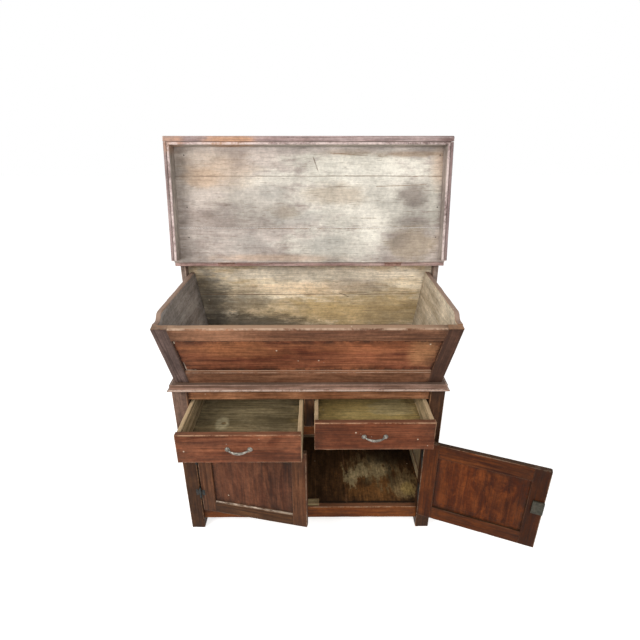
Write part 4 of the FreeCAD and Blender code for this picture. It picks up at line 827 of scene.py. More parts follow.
# Drawers
LEFT_FACE, RIGHT_FACE = RAIL_FRONT - DRAWER_OUT[LEFT], RAIL_FRONT - DRAWER_OUT[RIGHT]
DRAWER_FLOOR = 0.534
DRAWER_FACE = timber(
    "drawer_face_stain", (0.0902, 0.026, 0.0108), (0.164, 0.0534, 0.0262), (0.254, 0.0953, 0.0477),
    inner=OLIVE_INSIDE, wear=0.9, worn=(0.42, 0.25, 0.15), flecks=0.12, top=(0.26, 0.14, 0.09), swirly=0.5,
    blotches=upright(LEFT_FACE, 0.1, (-0.3, 0.6, 0.1, 0.02, 3.0, 0.5, (0.06, 0.02, 0.012), 0.3),
                     (-0.2, 0.54, 0.2, 0.02, 3.0, 0.5, (0.08, 0.025, 0.013), 0.5))
    + upright(RIGHT_FACE, 0.1, (0.11, 0.59, 0.06, 0.035, 3.0, 0.5, (0.05, 0.018, 0.01), 0.5),
              (0.3, 0.54, 0.13, 0.015, 3.0, 0.5, (0.06, 0.02, 0.01), 0.5),
              (0.23, 0.575, 0.24, 0.07, 1.0, 0.4, (0.115, 0.03, 0.0115), 0.5)))
KNOT_PALE, KNOT_HEART, DRAWER_SHADE = (0.55, 0.48, 0.3), (0.2, 0.13, 0.06), (0.075, 0.055, 0.026)
DRAWER_BOTTOM = timber(
    "drawer_bottom_wood", (0.138, 0.106, 0.054), (0.304, 0.237, 0.127), (0.56, 0.45, 0.27),
    soil_and_shade=(0.035, 0.026, 0.014), rough=(0.65, 0.85), shine=0.15, top=(0.2, 0.16, 0.09), dusty=0.1, split=0.6,
    blotches=level(DRAWER_FLOOR, (-0.11, -0.31, 0.05, 0.13, 3.0, 0.5, DRAWER_SHADE, 0.45),
                   (-0.2, -0.235, 0.16, 0.035, 3.0, 0.5, DRAWER_SHADE, 0.4),
                   (-0.36, -0.33, 0.06, 0.1, 2.4, 0.5, DRAWER_SHADE, 0.2),
                   (-0.329, -0.253, 0.024, 0.04, 1.6, 0.3, KNOT_PALE, 0.7),
                   (-0.322, -0.25, 0.009, 0.009, 0.8, 0.3, KNOT_HEART, 0.85),
                   (0.158, -0.187, 0.05, 0.025, 2.4, 0.3, KNOT_PALE, 0.6),
                   (0.23, -0.16, 0.22, 0.22, 1.6, 0.4, (0.64, 0.465, 0.165), 0.8),
                   (0.33, -0.15, 0.09, 0.05, 3.0, 0.3, KNOT_PALE, 0.4)))
DRAWER_SIDE = timber("drawer_side_wood", (0.238, 0.176, 0.0971), (0.452, 0.343, 0.199), (0.762, 0.588, 0.358),
                     worn=(0.62, 0.48, 0.3), wear=0.8, top=(0.54, 0.4, 0.24), dusty=0.8, rough=(0.6, 0.8),
                     shine=0.15)

# Doors
DOOR_WEAR = dict(inner=RED_INSIDE, worn=(0.45, 0.33, 0.23), wear=0.7, top=(0.05, 0.026, 0.013), dusty=0.6)
# A near-black line down the left door panel's left edge is a painted shadow of the stile.
SHADOW_X, SHADOW_LOW, SHADOW_HIGH, SHADOW_WIDTH = -0.383, 0.165, 0.405, 4.5 * MM
PANEL_EDGE_SHADOW = on_door(LEFT, (SHADOW_X, FRONT + DOOR_RECESS, SHADOW_LOW), (SHADOW_X, FRONT + DOOR_RECESS, SHADOW_HIGH))
RUBBED_FROM, RUBBED_TO, RUBBED_WIDTH = -0.38, -0.062, 3.2 * MM
CHAMFER_LINE = on_door(LEFT, *((x, FRONT + DOOR_CHAMFER / 2, DOOR_LOW + DOOR_RAIL - DOOR_CHAMFER / 2)
                               for x in (RUBBED_FROM, RUBBED_TO)))
# The keyhole is painted near-black on the stile's front: painted shade in place of the hole.
KEYHOLE_SPOTS = on_door(RIGHT, *((KEYHOLE_X, FRONT, LOCK_MIDDLE - drop) for drop in (0, KEYHOLE_DROP)))
KEYHOLE_REACHES = ((KEYHOLE_RADIUS,) * 3, (KEYHOLE_SLOT, KEYHOLE_SLOT, KEYHOLE_DROP))
KEYHOLE = [(spot, reach, 0.0, 0.15, DARK_GAP, 1.0) for spot, reach in zip(KEYHOLE_SPOTS, KEYHOLE_REACHES)]
FREE_STILE, = on_door(RIGHT, (DOOR_FREE + DOOR_STILE / 2, DOOR_BACK, LOCK_MIDDLE))
STILE_SHADE = (FREE_STILE, (0.045, 0.02, 0.25), 1.0, 0.4, (0.026, 0.0075, 0.0025), 0.65)
DOOR_STILE_STAIN = timber("door_stile_stain", (0.053, 0.0192, 0.0083), (0.11, 0.0418, 0.0185),
                          (0.184, 0.0788, 0.0378), blotches=KEYHOLE + [STILE_SHADE], **DOOR_WEAR)
DOOR_RAIL_STAIN = timber("door_rail_stain", (0.032, 0.0122, 0.0047), (0.0656, 0.0265, 0.0105),
                         (0.11, 0.05, 0.0215), scratches=((*CHAMFER_LINE, RUBBED_WIDTH, PALE_WORN),),
                         **DOOR_WEAR)
# The door panels darken strongly near their frame, with grime and painted shade in the recess.
DOOR_PANEL = timber("door_panel_stain", (0.0406, 0.0133, 0.0064), (0.0851, 0.0292, 0.0151),
                    (0.148, 0.0573, 0.029), inner=RED_PANEL_INSIDE, wear=0.2, soiled_and_shaded=0.9, swirly=0.6,
                    flecks=0.004, streaky=0.65, mottled=0.26, scratches=((*PANEL_EDGE_SHADOW, SHADOW_WIDTH, DARK_GAP),))

# Inside of the base, and hidden boards
STRAW_STAIN, OLIVE_STAIN, WARM_STAIN = (0.57, 0.45, 0.245), (0.31, 0.24, 0.122), (0.24, 0.108, 0.034)
CUPBOARD_FLOOR = timber(
    "cupboard_floor_wood", (0.03, 0.0135, 0.006), (0.062, 0.0285, 0.0125), (0.11, 0.054, 0.023),
    rough=(0.55, 0.8), top=(0.1, 0.06, 0.03), dusty=0.1, split=0.5, swirly=0.5, mottled=0.4,
    blotches=level(FLOOR_HIGH, (0.3, -0.07, 0.15, 0.15, 3.4, 0.5, WARM_STAIN, 0.75),
                   (0.3, 0.0, 0.1, 0.085, 5.0, 0.45, OLIVE_STAIN, 0.65),
                   (0.41, -0.1, 0.05, 0.09, 5.0, 0.45, OLIVE_STAIN, 0.6),
                   (0.183, -0.06, 0.03, 0.05, 4.0, 0.3, STRAW_STAIN, 0.8),
                   (0.235, -0.02, 0.035, 0.04, 4.0, 0.3, STRAW_STAIN, 0.75),
                   (0.315, -0.01, 0.04, 0.06, 4.4, 0.35, STRAW_STAIN, 0.55),
                   (0.43, -0.13, 0.025, 0.035, 3.4, 0.4, (0.5, 0.36, 0.13), 0.7),
                   (0.37, 0.08, 0.1, 0.07, 4.0, 0.5, DARK_GAP, 0.75),
                   (0.37, -0.06, 0.025, 0.05, 4.0, 0.5, DARK_GAP, 0.6),
                   (0.24, -0.1, 0.03, 0.025, 4.0, 0.5, DARK_GAP, 0.6),
                   # A near-black strip along the floor's front edge, behind the bottom rail, is a painted
                   # shadow.
                   (0.2, -0.215, 0.5, 0.012, 0.6, 0.4, DARK_GAP, 0.9)))
RAW_BOARD = timber("raw_board", *BARE_WOOD, rough=(0.65, 0.85), shine=0.15, split=0.5)
STOP_WOOD = timber("stop_wood", (0.34, 0.26, 0.12), (0.5, 0.4, 0.22), (0.62, 0.52, 0.31), rough=(0.6, 0.8))
HIDDEN_WOOD = timber("hidden_wood", *BARE_WOOD, shine=0.15, on_board=False)

# Metals: tone, bright tone, roughness, share of rust and gleam
IRON = metal("hinge_iron", (0.01, 0.0105, 0.01), (0.03, 0.032, 0.03), 0.55, 0.25, 0.4)
PAINTED_IRON = metal("painted_iron", (0.26, 0.14, 0.11), (0.44, 0.27, 0.22), 0.6, 0.2, 0.1)
STEEL = metal("lock_steel", (0.024, 0.0215, 0.0125), (0.047, 0.042, 0.027), 0.55, 0.1, 0.3)
PEWTER = metal("pull_metal", (0.11, 0.105, 0.09), (0.34, 0.32, 0.28), 0.4, 0.15)


# Base frame

for side, word in SIDES:
    x = both_sides(side, OPENING, HALF)
    for place, y, node in (("front", (FRONT, POST_REAR), f"post_front_{word}"),
                           ("rear", (REAR_POST_FRONT, BACK), "rear_posts")):
        plank(f"{place}_post_{word}", (x[0], y[0], 0), (x[1], y[1], CASE_LOW), 2, POST, "carcass", [node],
              radius=2.2 * MM, nick=1.2, end_round=4 * MM)
    x = both_sides(side, WALL, HALF)
    for place, z in (("bottom", (FOOT_HEIGHT, SIDE_RAIL_HIGH)), ("top", (SIDE_RAIL_LOW, CASE_LOW))):
        plank(f"side_{place}_rail_{word}", (x[0], POST_REAR, z[0]), (x[1], REAR_POST_FRONT, z[1]), 1,
              SIDE_FRAME, "carcass", ["side_rails"], inner=(0, -side), butt=True)
    x = both_sides(side, SIDE_PANEL_INNER, SIDE_PANEL_OUTER)
    z = (SIDE_RAIL_HIGH - SIDE_GROOVE, SIDE_RAIL_LOW + SIDE_GROOVE)
    plank(f"side_panel_{word}", (x[0], POST_REAR, z[0]), (x[1], REAR_POST_FRONT, z[1]), 2, SIDE_PANEL,
          "carcass", ["side_panels"], inner=(0, -side), framed=1 * MM)

for place, finish in (("bottom", BASE_RAIL), ("mid", BASE_RAIL), ("top", LIT_TOP_RAIL)):
    over_node(f"front_{place}_rail", 0, finish, "carcass", butt=True)
over_node("drawer_divider", 2, POST, "carcass", butt=True)
over_node("door_stop", 0, STOP_WOOD, "carcass", "bare_wood")

low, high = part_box("back_boards")
pitch = (high[0] - low[0]) / BACK_BOARDS
for i in range(BACK_BOARDS):
    x = low[0] + i * pitch
    begin, end = x - BUTT_RUN_IN, x + pitch + BUTT_RUN_IN
    plank(f"back_board_{i + 1}", (begin, low[1], low[2]), (end, high[1], high[2]), 2, RAW_BOARD, "carcass",
          ["back_boards"], "bare_wood", nick=0.3)


def clear_of_posts(points):
    """Keeps the ends of a floor board behind the front posts and before the rear ones, but for a small
    lap."""
    beyond = np.abs(points[:, 0]) > OPENING
    points[:, 1] = np.where(beyond, held(points[:, 1], POST_REAR, REAR_POST_FRONT), points[:, 1])
    return points


for i, x in enumerate(((-WALL, -FLOOR_SEAM), (-FLOOR_SEAM, FLOOR_SEAM), (FLOOR_SEAM, WALL))):
    plank(f"floor_board_{i + 1}", (x[0], RAIL_BACK, FLOOR_LOW), (x[1], REAR_RAIL_FRONT, FLOOR_HIGH), 1,
          CUPBOARD_FLOOR, "carcass", ["floor_boards"], "bare_wood", shape=clear_of_posts,
          spread=even_spread(40))


# Moulded top

over_node("case_top", 0, CORNICE, "carcass", rub=0.0, nick=0.2)
ARC_POINTS, COVE_FROM, COVE_TO = 9, 262, 180
FILLET_SLANT, FILLET_BEND = 0.2 * MM, 1.5 * MM
# The nose is worn pale all over, which also paints its highlight; the cove is darkened as a hollow, with
# grime and painted shade.
NOSE_RUB_AND_HIGHLIGHT, COVE_RUB_LOW, COVE_RUB_HIGH, TAIL_RUBS = 1.8, -0.2, -0.8, (-0.6, 1, 0, 0)


def arc(centre, radius, begin, end):
    """Points evenly round a circle, from one angle in degrees to another."""
    angle = np.radians(np.linspace(begin, end, ARC_POINTS))
    return np.stack([centre[0] + radius * np.cos(angle), centre[1] + radius * np.sin(angle)], -1)


def cornice_section(outward):
    """Nose, cove and fillet of the moulding, as distance from the board's edge and height: a half circle, an
    arc stretched upwards and a nearly upright edge. Gives the corners and their rubs."""
    nose = CORNICE_NOSE / 2
    lower = arc((CORNICE_REACH - nose, CASE_LOW + nose), nose, -90, 90)
    top = CASE_HIGH - CORNICE_FILLET
    width = CORNICE_REACH - nose - CORNICE_NECK
    cove = arc((CORNICE_REACH - nose, top), width, COVE_FROM, COVE_TO)
    cove[:, 1] = top - (top - cove[:, 1]) * (top - CASE_LOW - CORNICE_NOSE) / width
    tail = [(CORNICE_NECK + FILLET_SLANT, CASE_HIGH - FILLET_BEND), (CORNICE_NECK, CASE_HIGH), (0, CASE_HIGH),
            (0, CASE_LOW)]
    cove_rubs = np.linspace(COVE_RUB_LOW, COVE_RUB_HIGH, ARC_POINTS)
    rubs = np.concatenate([np.full(ARC_POINTS, NOSE_RUB_AND_HIGHLIGHT), cove_rubs, TAIL_RUBS])
    return np.concatenate([lower, cove, tail]) * (outward, 1), rubs


def moulded(name, node, grain, edge, outward, start, end, cuts):
    """Carries the moulding's section along one edge of the top, with mitred ends."""
    outline, rubs = cornice_section(outward)
    outline = outline + (edge, 0)
    if grain == 1:
        outline = outline[:, ::-1]
    after = np.roll(outline, -1, 0)
    if np.sum(outline[:, 0] * after[:, 1] - after[:, 0] * outline[:, 1]) < 0:
        outline, rubs = outline[::-1], rubs[::-1]
    carried(name, outline, grain, start, end, CORNICE, "carcass", [node], radius=0.6 * MM, end_round=0.4 * MM,
            start_cut=cuts[0], end_cut=cuts[1], spread=even_spread(3), nick=0.7, rub=rubs)


# A mitre's end moves along the grain by as much as the section stands out from the board's edge.
moulded("front_moulding", "cornice_front", 0, FRONT, -1, -HALF - FRONT, HALF + FRONT, ((1, 0), (-1, 0)))
for side, word in SIDES:
    moulded(f"{word}_moulding", f"cornice_{word}", 1, side * HALF, side, FRONT + HALF, BACK,
            ((0, -side), (0, 0)))

# Trough

LOW_HEIGHT = TROUGH_FRONT_HEIGHT + TROUGH_FRONT_THICK * math.sin(LEAN)
INSIDE_FOOT = FRONT_FOOT + TROUGH_FRONT_THICK / math.cos(LEAN)
SIDE_START = INSIDE_FOOT - LOW_HEIGHT * math.tan(LEAN)


def shoulder_height(y):
    """Height of a side's top edge: the rim, then an S-curve of two equal arcs down to the front's top
    edge."""
    drop = TROUGH_RIM - LOW_HEIGHT
    run = np.clip((SHOULDER_REAR - y) / SHOULDER_RUN, 0, 1)
    radius = (SHOULDER_RUN ** 2 + drop ** 2) / (4 * drop)
    reach = np.minimum(run, 1 - run) * SHOULDER_RUN
    fall = radius - np.sqrt(radius ** 2 - reach ** 2)
    return TROUGH_RIM - np.where(run <= 0.5, fall, drop - fall)


def flared(side):
    """From a flat board (thickness, length, height) to a flared side whose front end follows the leaning
    front."""
    def shape(points):
        height = points[:, 2] * shoulder_height(points[:, 1]) / TROUGH_RIM
        begin = INSIDE_FOOT - height * math.tan(LEAN)
        front = np.clip((SHOULDER_REAR - points[:, 1]) / (SHOULDER_REAR - SIDE_START), 0, 1)
        x = side * (TROUGH_HALF + height * math.tan(FLARE)) + points[:, 0] / math.cos(FLARE)
        return np.stack([x, points[:, 1] + (begin - SIDE_START) * front, CASE_HIGH + height], -1)

    return shape


for side, word in SIDES:
    x = both_sides(side, -TROUGH_WALL, 0)
    plank(f"trough_{word}_side", (x[0], SIDE_START, 0), (x[1], BACK_FACE, TROUGH_RIM), 1, TROUGH_SIDES[side],
          "carcass", [f"trough_side_{word}"], shape=flared(side), inner=(0, -side), radius=2 * MM,
          pitch=0.008, spread=even_spread(14))

over_node("trough_floor", 0, TROUGH_FLOOR, "carcass", "bare_wood")
for word, z in (("lower", (CASE_HIGH, BACK_SEAM - BOARD_GAP)), ("upper", (BACK_SEAM, STRIP_LOW))):
    plank(f"trough_back_{word}", (-BACK_HALF, BACK_FACE, z[0]), (BACK_HALF, BACK, z[1]), 0, TROUGH_BACK,
          "carcass", ["trough_back"], "bare_wood", inner=(1, -1))
for side, word in SIDES:
    x = both_sides(side, BACK_HALF - BATTEN_WIDTH, BACK_HALF)
    plank(f"back_batten_{word}", (x[0], BACK_FACE - BATTEN_DEPTH, CASE_HIGH), (x[1], BACK_FACE, STRIP_LOW), 2,
          BATTEN_STAIN, "carcass", ["back_battens"])

SLOPE = TROUGH_FRONT_HEIGHT / math.cos(LEAN)
EDGE_SLOPE = math.tan(FLARE) * math.cos(LEAN)
PANEL_EDGE = TROUGH_HALF - TROUGH_STILE


def front_piece(name, node, section, finish, tongue=0.0, **options):
    """A rail or panel in the plane of the trough's front, whose ends follow the flare."""
    carried(name, section, 0, -PANEL_EDGE - tongue, PANEL_EDGE + tongue, finish, "carcass", [node],
            start_cut=(-EDGE_SLOPE, 0), end_cut=(EDGE_SLOPE, 0), pose=lean_pose, inner=(2, -1), framed=tongue,
            spread=even_spread(16), butt=True, **options)


bottom_rail = [(0, -TROUGH_FRONT_THICK), (TROUGH_RAIL, -TROUGH_FRONT_THICK), (TROUGH_RAIL, -TROUGH_CHAMFER),
               (TROUGH_RAIL - TROUGH_CHAMFER, 0), (0, 0)]
top_rail = [(SLOPE - TROUGH_RAIL, -TROUGH_FRONT_THICK), (SLOPE, -TROUGH_FRONT_THICK), (SLOPE, 0),
            (SLOPE - TROUGH_RAIL + TROUGH_CHAMFER, 0), (SLOPE - TROUGH_RAIL, -TROUGH_CHAMFER)]
panel = rectangle((TROUGH_RAIL - TROUGH_TONGUE, -TROUGH_PANEL_RECESS - TROUGH_PANEL_THICK),
                  (SLOPE - TROUGH_RAIL + TROUGH_TONGUE, -TROUGH_PANEL_RECESS))
front_piece("trough_bottom_rail", "trough_front_bottom_rail", bottom_rail, TROUGH_RAIL_STAIN,
            rub=np.array([0, 0, 0.6, 0.8, 0.3]))
front_piece("trough_top_rail", "trough_front_top_rail", top_rail, TROUGH_RAIL_STAIN,
            rub=np.array([0, 0.6, 1.0, 0.1, 0.1]), radius=np.array([1, 3, 5, 1, 1]) * MM)
front_piece("trough_panel", "trough_front_panel", panel, TROUGH_PANEL_STAIN, TROUGH_TONGUE)


def flared_stile(side):
    """Moves a stile outwards as it rises, by the slope of the flare in the plane of the front."""
    def shape(points):
        points[:, 0] += side * EDGE_SLOPE * points[:, 1]
        return points

    return shape


for side, word in SIDES:
    x = both_sides(side, PANEL_EDGE, TROUGH_HALF)
    plank(f"trough_{word}_stile", (x[0], 0, -TROUGH_FRONT_THICK), (x[1], SLOPE, 0), 1, TROUGH_STILES[side],
          "carcass", ["trough_front_stiles"], shape=flared_stile(side), pose=lean_pose, inner=(2, -1),
          rub=0.4)


# Hinge strip and lid

LID_PITCH = 0.012


def notched(points):
    """Lets the edge by the hinge axis drop clear of the knuckles."""
    near = np.abs(np.abs(points[:, 0]) - LID_HINGE_X) < LID_HINGE_HALF
    close = np.abs(points[:, 1] - LID_AXIS_Y) < LID_HINGE_ROOM
    dropped = held(points[:, 2], -np.inf, LID_AXIS_Z - LID_HINGE_ROOM)
    points[:, 2] = np.where(near & close, dropped, points[:, 2])
    return points


strip_section = rectangle((STRIP_FRONT, STRIP_LOW), (STRIP_REAR, STRIP_HIGH))
carried("rounded_strip", strip_section, 0, -STRIP_HALF, STRIP_HALF, STRIP_STAIN, "carcass", ["hinge_strip"],
        radius=[2 * MM, 2 * MM, 2 * MM, STRIP_ROUND], shape=notched, pitch=LID_PITCH)

lid_edges = (LID_REAR, *LID_SEAMS, LID_FRONT)
for i, (rear, front) in enumerate(zip(lid_edges, lid_edges[1:])):
    low, high = (-LID_HALF, front + BOARD_GAP / 2, LID_LOW), (LID_HALF, rear - BOARD_GAP / 2, LID_AXIS_Z)
    plank(f"lid_board_{i + 1}", low, high, 0, LID_BOARD, "lid", ["lid_boards"], "bare_wood", shape=notched,
          pose=lid_pose, pitch=LID_PITCH, inner=(2, -1), radius=0.6 * MM, nick=0.3)

MOULDED_EDGE = LIP_BEAD + LIP_QUIRK
MITRE_FRONT = LIP_FRONT + FRONT_LIP_THICK - MOULDED_EDGE
MITRE_OUTER = LIP_HALF - LIP_THICK + MOULDED_EDGE


def lip_section(edge, inward, thick):
    """Section of a lip: a rounded outer edge, a narrow groove, and a bead beside the inside of the lid."""
    bead = edge + inward * (thick - LIP_BEAD)
    groove = bead - inward * LIP_QUIRK
    deep = LIP_LOW + LIP_QUIRK_DEPTH
    inside = edge + inward * thick
    return [(edge, LIP_LOW), (groove, LIP_LOW), (groove, deep), (bead, deep), (bead, LIP_LOW),
            (inside, LIP_LOW), (inside, LID_LOW), (edge, LID_LOW)]


def front_mitre(points):
    """Ends the moulded edge of the front lip on the two mitre lines."""
    inward = points[:, 1] - MITRE_FRONT
    reach = np.where(inward > 0, MITRE_OUTER - inward, LIP_HALF)
    points[:, 0] = held(points[:, 0], -reach, reach)
    return points


def side_mitre(points):
    """Starts the moulded edge of a side lip on its mitre line."""
    inward = np.maximum(MITRE_OUTER - np.abs(points[:, 0]), 0)
    points[:, 1] = held(points[:, 1], MITRE_FRONT + inward, LIP_REAR)
    return points


LIP_RUBS = np.array([0.15, 0.1, 0, 0, 1.7, 1.7, 0, 0])
LIP_RADII = np.array([LIP_ROUND, 1 * MM, 0.4 * MM, 0.4 * MM, 1.5 * MM, 2 * MM, 1 * MM, 1 * MM])
carried("front_lip", lip_section(LIP_FRONT, 1, FRONT_LIP_THICK), 0, -LIP_HALF, LIP_HALF, LID_RIM, "lid",
        ["lid_front_lip"], radius=LIP_RADII, rub=LIP_RUBS, shape=front_mitre, pose=lid_pose, inner=(1, 1),
        spread=even_spread(4))
for side, word in SIDES:
    # For a board along Y the section is drawn as (z, x).
    outline = np.array(lip_section(side * LIP_HALF, -side, LIP_THICK))[:, ::-1]
    radii, rubs = LIP_RADII, LIP_RUBS
    if side == LEFT:
        outline, radii, rubs = outline[::-1], radii[::-1], rubs[::-1]
    carried(f"{word}_lip", outline, 1, MITRE_FRONT, LIP_REAR, LID_RIM, "lid", [f"lid_{word}_lip"],
            radius=radii, rub=rubs, shape=side_mitre, pose=lid_pose, inner=(0, -side), spread=even_spread(4))


# Drawers

ROSETTE = np.array([(9.0, 0), (9.0, 1.4), (8.4, 2.3), (7.2, 2.8), (6.4, 3.3), (6.1, 4.6), (5.2, 6.2),
                    (3.6, 7.2), (1.6, 7.7), (0.2, 7.8)]) * MM
PULL_RINGS, PULL_SIDES, ROSETTE_SIDES = 41, 18, 24
COLLAR_PLACE, COLLAR_WIDTH = 0.72, 0.05
BOW_TALL, GRIP_TALL, COLLAR_TALL = 2.7 * MM, 3.0 * MM, 1.0 * MM
BOW_DEEP, GRIP_DEEP, COLLAR_DEEP = 2.5 * MM, 0.7 * MM, 0.8 * MM


def pull_skins(side):
    """A cast bow pull: an arc between two rosettes, whose oval section swells to a flat grip in the middle
    and has a collar near each end."""
    share = np.linspace(-1, 1, PULL_RINGS)[:, None]
    radius = (PULL_HALF_SPAN ** 2 + PULL_REACH ** 2) / (2 * PULL_REACH)
    angle = share * math.asin(PULL_HALF_SPAN / radius)
    middle = (side * DRAWER_X, RAIL_FRONT - DRAWER_OUT[side], DRAWER_MIDDLE)
    zero = np.zeros_like(angle)
    path = np.concatenate([radius * np.sin(angle), radius - PULL_REACH - radius * np.cos(angle), zero], 1)
    outward = np.concatenate([np.sin(angle), -np.cos(angle), zero], 1)
    collar = np.exp(-((np.abs(share) - COLLAR_PLACE) / COLLAR_WIDTH) ** 2)
    grip = (1 - share ** 2) ** 2
    tall = BOW_TALL + GRIP_TALL * grip + COLLAR_TALL * collar
    deep = BOW_DEEP + GRIP_DEEP * grip + COLLAR_DEEP * collar
    turn = np.linspace(0, 2 * math.pi, PULL_SIDES, endpoint=False)
    across = (deep * np.cos(turn))[..., None] * outward[:, None]
    rings = path[:, None] + across + (tall * np.sin(turn))[..., None] * np.array([0, 0, 1.0])
    bow = turned(rings + np.array(middle), 0, middle, PULL_TILT)[::-1]
    ends = [(middle[0] + end * PULL_HALF_SPAN, middle[1], middle[2]) for end in (LEFT, RIGHT)]
    return [bow] + [lathe(ROSETTE, spot, (0, -1, 0), ROSETTE_SIDES) for spot in ends]


for side, word in SIDES:
    body = f"drawer_{word}"
    over_node(f"{body}_front", 0, DRAWER_FACE, body, radius=2.2 * MM, nick=1.3, inner=(1, 1))
    over_node(f"{body}_back", 0, DRAWER_SIDE, body, "bare_wood")
    over_node(f"{body}_bottom", 0, DRAWER_BOTTOM, body, "bare_wood")
    low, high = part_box(f"{body}_sides")
    for end, x in (("left", low[0]), ("right", high[0] - DRAWER_WALL_THICK)):
        plank(f"{body}_{end}_side", (x, low[1], low[2]), (x + DRAWER_WALL_THICK, high[1], high[2]), 1,
              DRAWER_SIDE, body, [f"{body}_sides"], "bare_wood")
    dress(put_skins(f"cast_pull_{word}", pull_skins(side)), PEWTER, body, [f"{body}_pull"])


# Doors

STEP_INSET, STEP_WIDTH, PANEL_MIDDLE = 2 * MM, 1.5 * MM, 3 * MM
FIELD_NEAR = np.array([3.0, 7.0, 9.0, 20.0, 33.0, 34.5, 35.2, 36.0, 38.0]) * MM
FIELD_FROM, FIELD_POINTS = 0.18, 9


def fielded(side):
    """Raises the inner face of a panel: a bevel from the frame's edge, then a small step up to the flat
    field."""
    x = both_sides(side, DOOR_FREE + DOOR_STILE, DOOR_HUNG - DOOR_STILE)
    z = (DOOR_LOW + DOOR_RAIL, DOOR_HIGH - DOOR_RAIL)

    def shape(points):
        inward_x = np.minimum(points[:, 0] - x[0], x[1] - points[:, 0])
        inward_z = np.minimum(points[:, 2] - z[0], z[1] - points[:, 2])
        inward = np.minimum(inward_x, inward_z)
        step_at = DOOR_BEVEL - STEP_INSET
        bevel, step = ramp(inward, 0, step_at), ramp(inward, step_at, step_at + STEP_WIDTH)
        at_back = points[:, 1] > FRONT + DOOR_RECESS + PANEL_MIDDLE
        points[:, 1] += DOOR_FIELD * (bevel + step) / 2 * at_back
        return points

    return shape


def field_spread(length):
    """Shares of a panel's side: close together at the frame's edge and at the step, and wide over the
    field."""
    near = FIELD_NEAR / length
    return np.concatenate([near, np.linspace(FIELD_FROM, 1 - FIELD_FROM, FIELD_POINTS), 1 - near[::-1]])


HINGE_PLATE = np.array([(-8, 5), (-14, 11), (-15, 17), (-9, 19), (-5, 17), (0, 20), (5, 17), (9, 19),
                        (15, 17), (14, 11), (8, 5)]) * MM
PLATE_THICK = 1.4 * MM


def hinge_plates(side, word):
    """Small shaped iron plates on the faces of door and post beside each knuckle: an outline carried through
    the plate's thickness."""
    for place, height in zip(("low", "high"), DOOR_HINGE_LEVELS):
        for part, away in (("door", -side), ("post", side)):
            outline = HINGE_PLATE * (1, away) + (height, side * DOOR_AXIS_X)
            if away > 0:
                outline = outline[::-1]
            body = f"door_{word}" if part == "door" else "carcass"
            pose = door_pose(side) if part == "door" else None
            carried(f"{word}_{place}_{part}_plate", outline, 1, FRONT - PLATE_THICK, FRONT, IRON, body, [],
                    "hinge_iron", radius=1 * MM, end_round=0.3 * MM, nick=0.2, spread=even_spread(3),
                    pose=pose)


# Rubs of the corners of a section, in the order that it is drawn
STILE_RUBS = np.array([0.8, 0.1, 0.1, 0.8])
RAIL_RUBS = {"bottom": np.array([0.5, 0.5, 0.1, 0.7, 1.0]), "top": np.array([0.1, 0.1, 0.1, 0.5, 0.5])}
inner_low, inner_high = DOOR_LOW + DOOR_RAIL, DOOR_HIGH - DOOR_RAIL
RAIL_SECTIONS = {
    "bottom": [(FRONT, DOOR_LOW), (DOOR_BACK, DOOR_LOW), (DOOR_BACK, inner_low),
               (FRONT + DOOR_CHAMFER, inner_low), (FRONT, inner_low - DOOR_CHAMFER)],
    "top": [(FRONT, inner_high + DOOR_CHAMFER), (FRONT + DOOR_CHAMFER, inner_high), (DOOR_BACK, inner_high),
            (DOOR_BACK, DOOR_HIGH), (FRONT, DOOR_HIGH)],
}

for side, word in SIDES:
    body = f"door_{word}"
    pose = door_pose(side)
    free, hung = (DOOR_FREE, DOOR_FREE + DOOR_STILE), (DOOR_HUNG - DOOR_STILE, DOOR_HUNG)
    for name, x in (("free", both_sides(side, *free)), ("hung", both_sides(side, *hung))):
        panel_to_right = (name == "free") == (side == RIGHT)
        plank(f"{body}_{name}_stile", (x[0], FRONT, DOOR_LOW), (x[1], DOOR_BACK, DOOR_HIGH), 2,
              DOOR_STILE_STAIN, body, [f"{body}_stiles"], pose=pose, inner=(1, 1), end_rub=0.3,
              rub=STILE_RUBS if panel_to_right else np.roll(STILE_RUBS, 2))
    x = both_sides(side, free[1], hung[0])
    for name, section in RAIL_SECTIONS.items():
        carried(f"{body}_{name}_rail", section, 0, x[0], x[1], DOOR_RAIL_STAIN, body, [f"{body}_rails"],
                pose=pose, inner=(1, 1), rub=RAIL_RUBS[name], butt=True)
    low = (x[0] - DOOR_TONGUE, FRONT + DOOR_RECESS, inner_low - DOOR_TONGUE)
    high = (x[1] + DOOR_TONGUE, FRONT + DOOR_PANEL_BACK, inner_high + DOOR_TONGUE)
    plank(f"{body}_fielded_panel", low, high, 2, DOOR_PANEL, body, [f"{body}_panel"], pose=pose, inner=(1, 1),
          framed=DOOR_TONGUE, shape=fielded(side), radius=0.6 * MM, spread=field_spread(high[0] - low[0]),
          stations=field_spread(high[2] - low[2]))
    hinge_plates(side, word)

# Lock on the right door

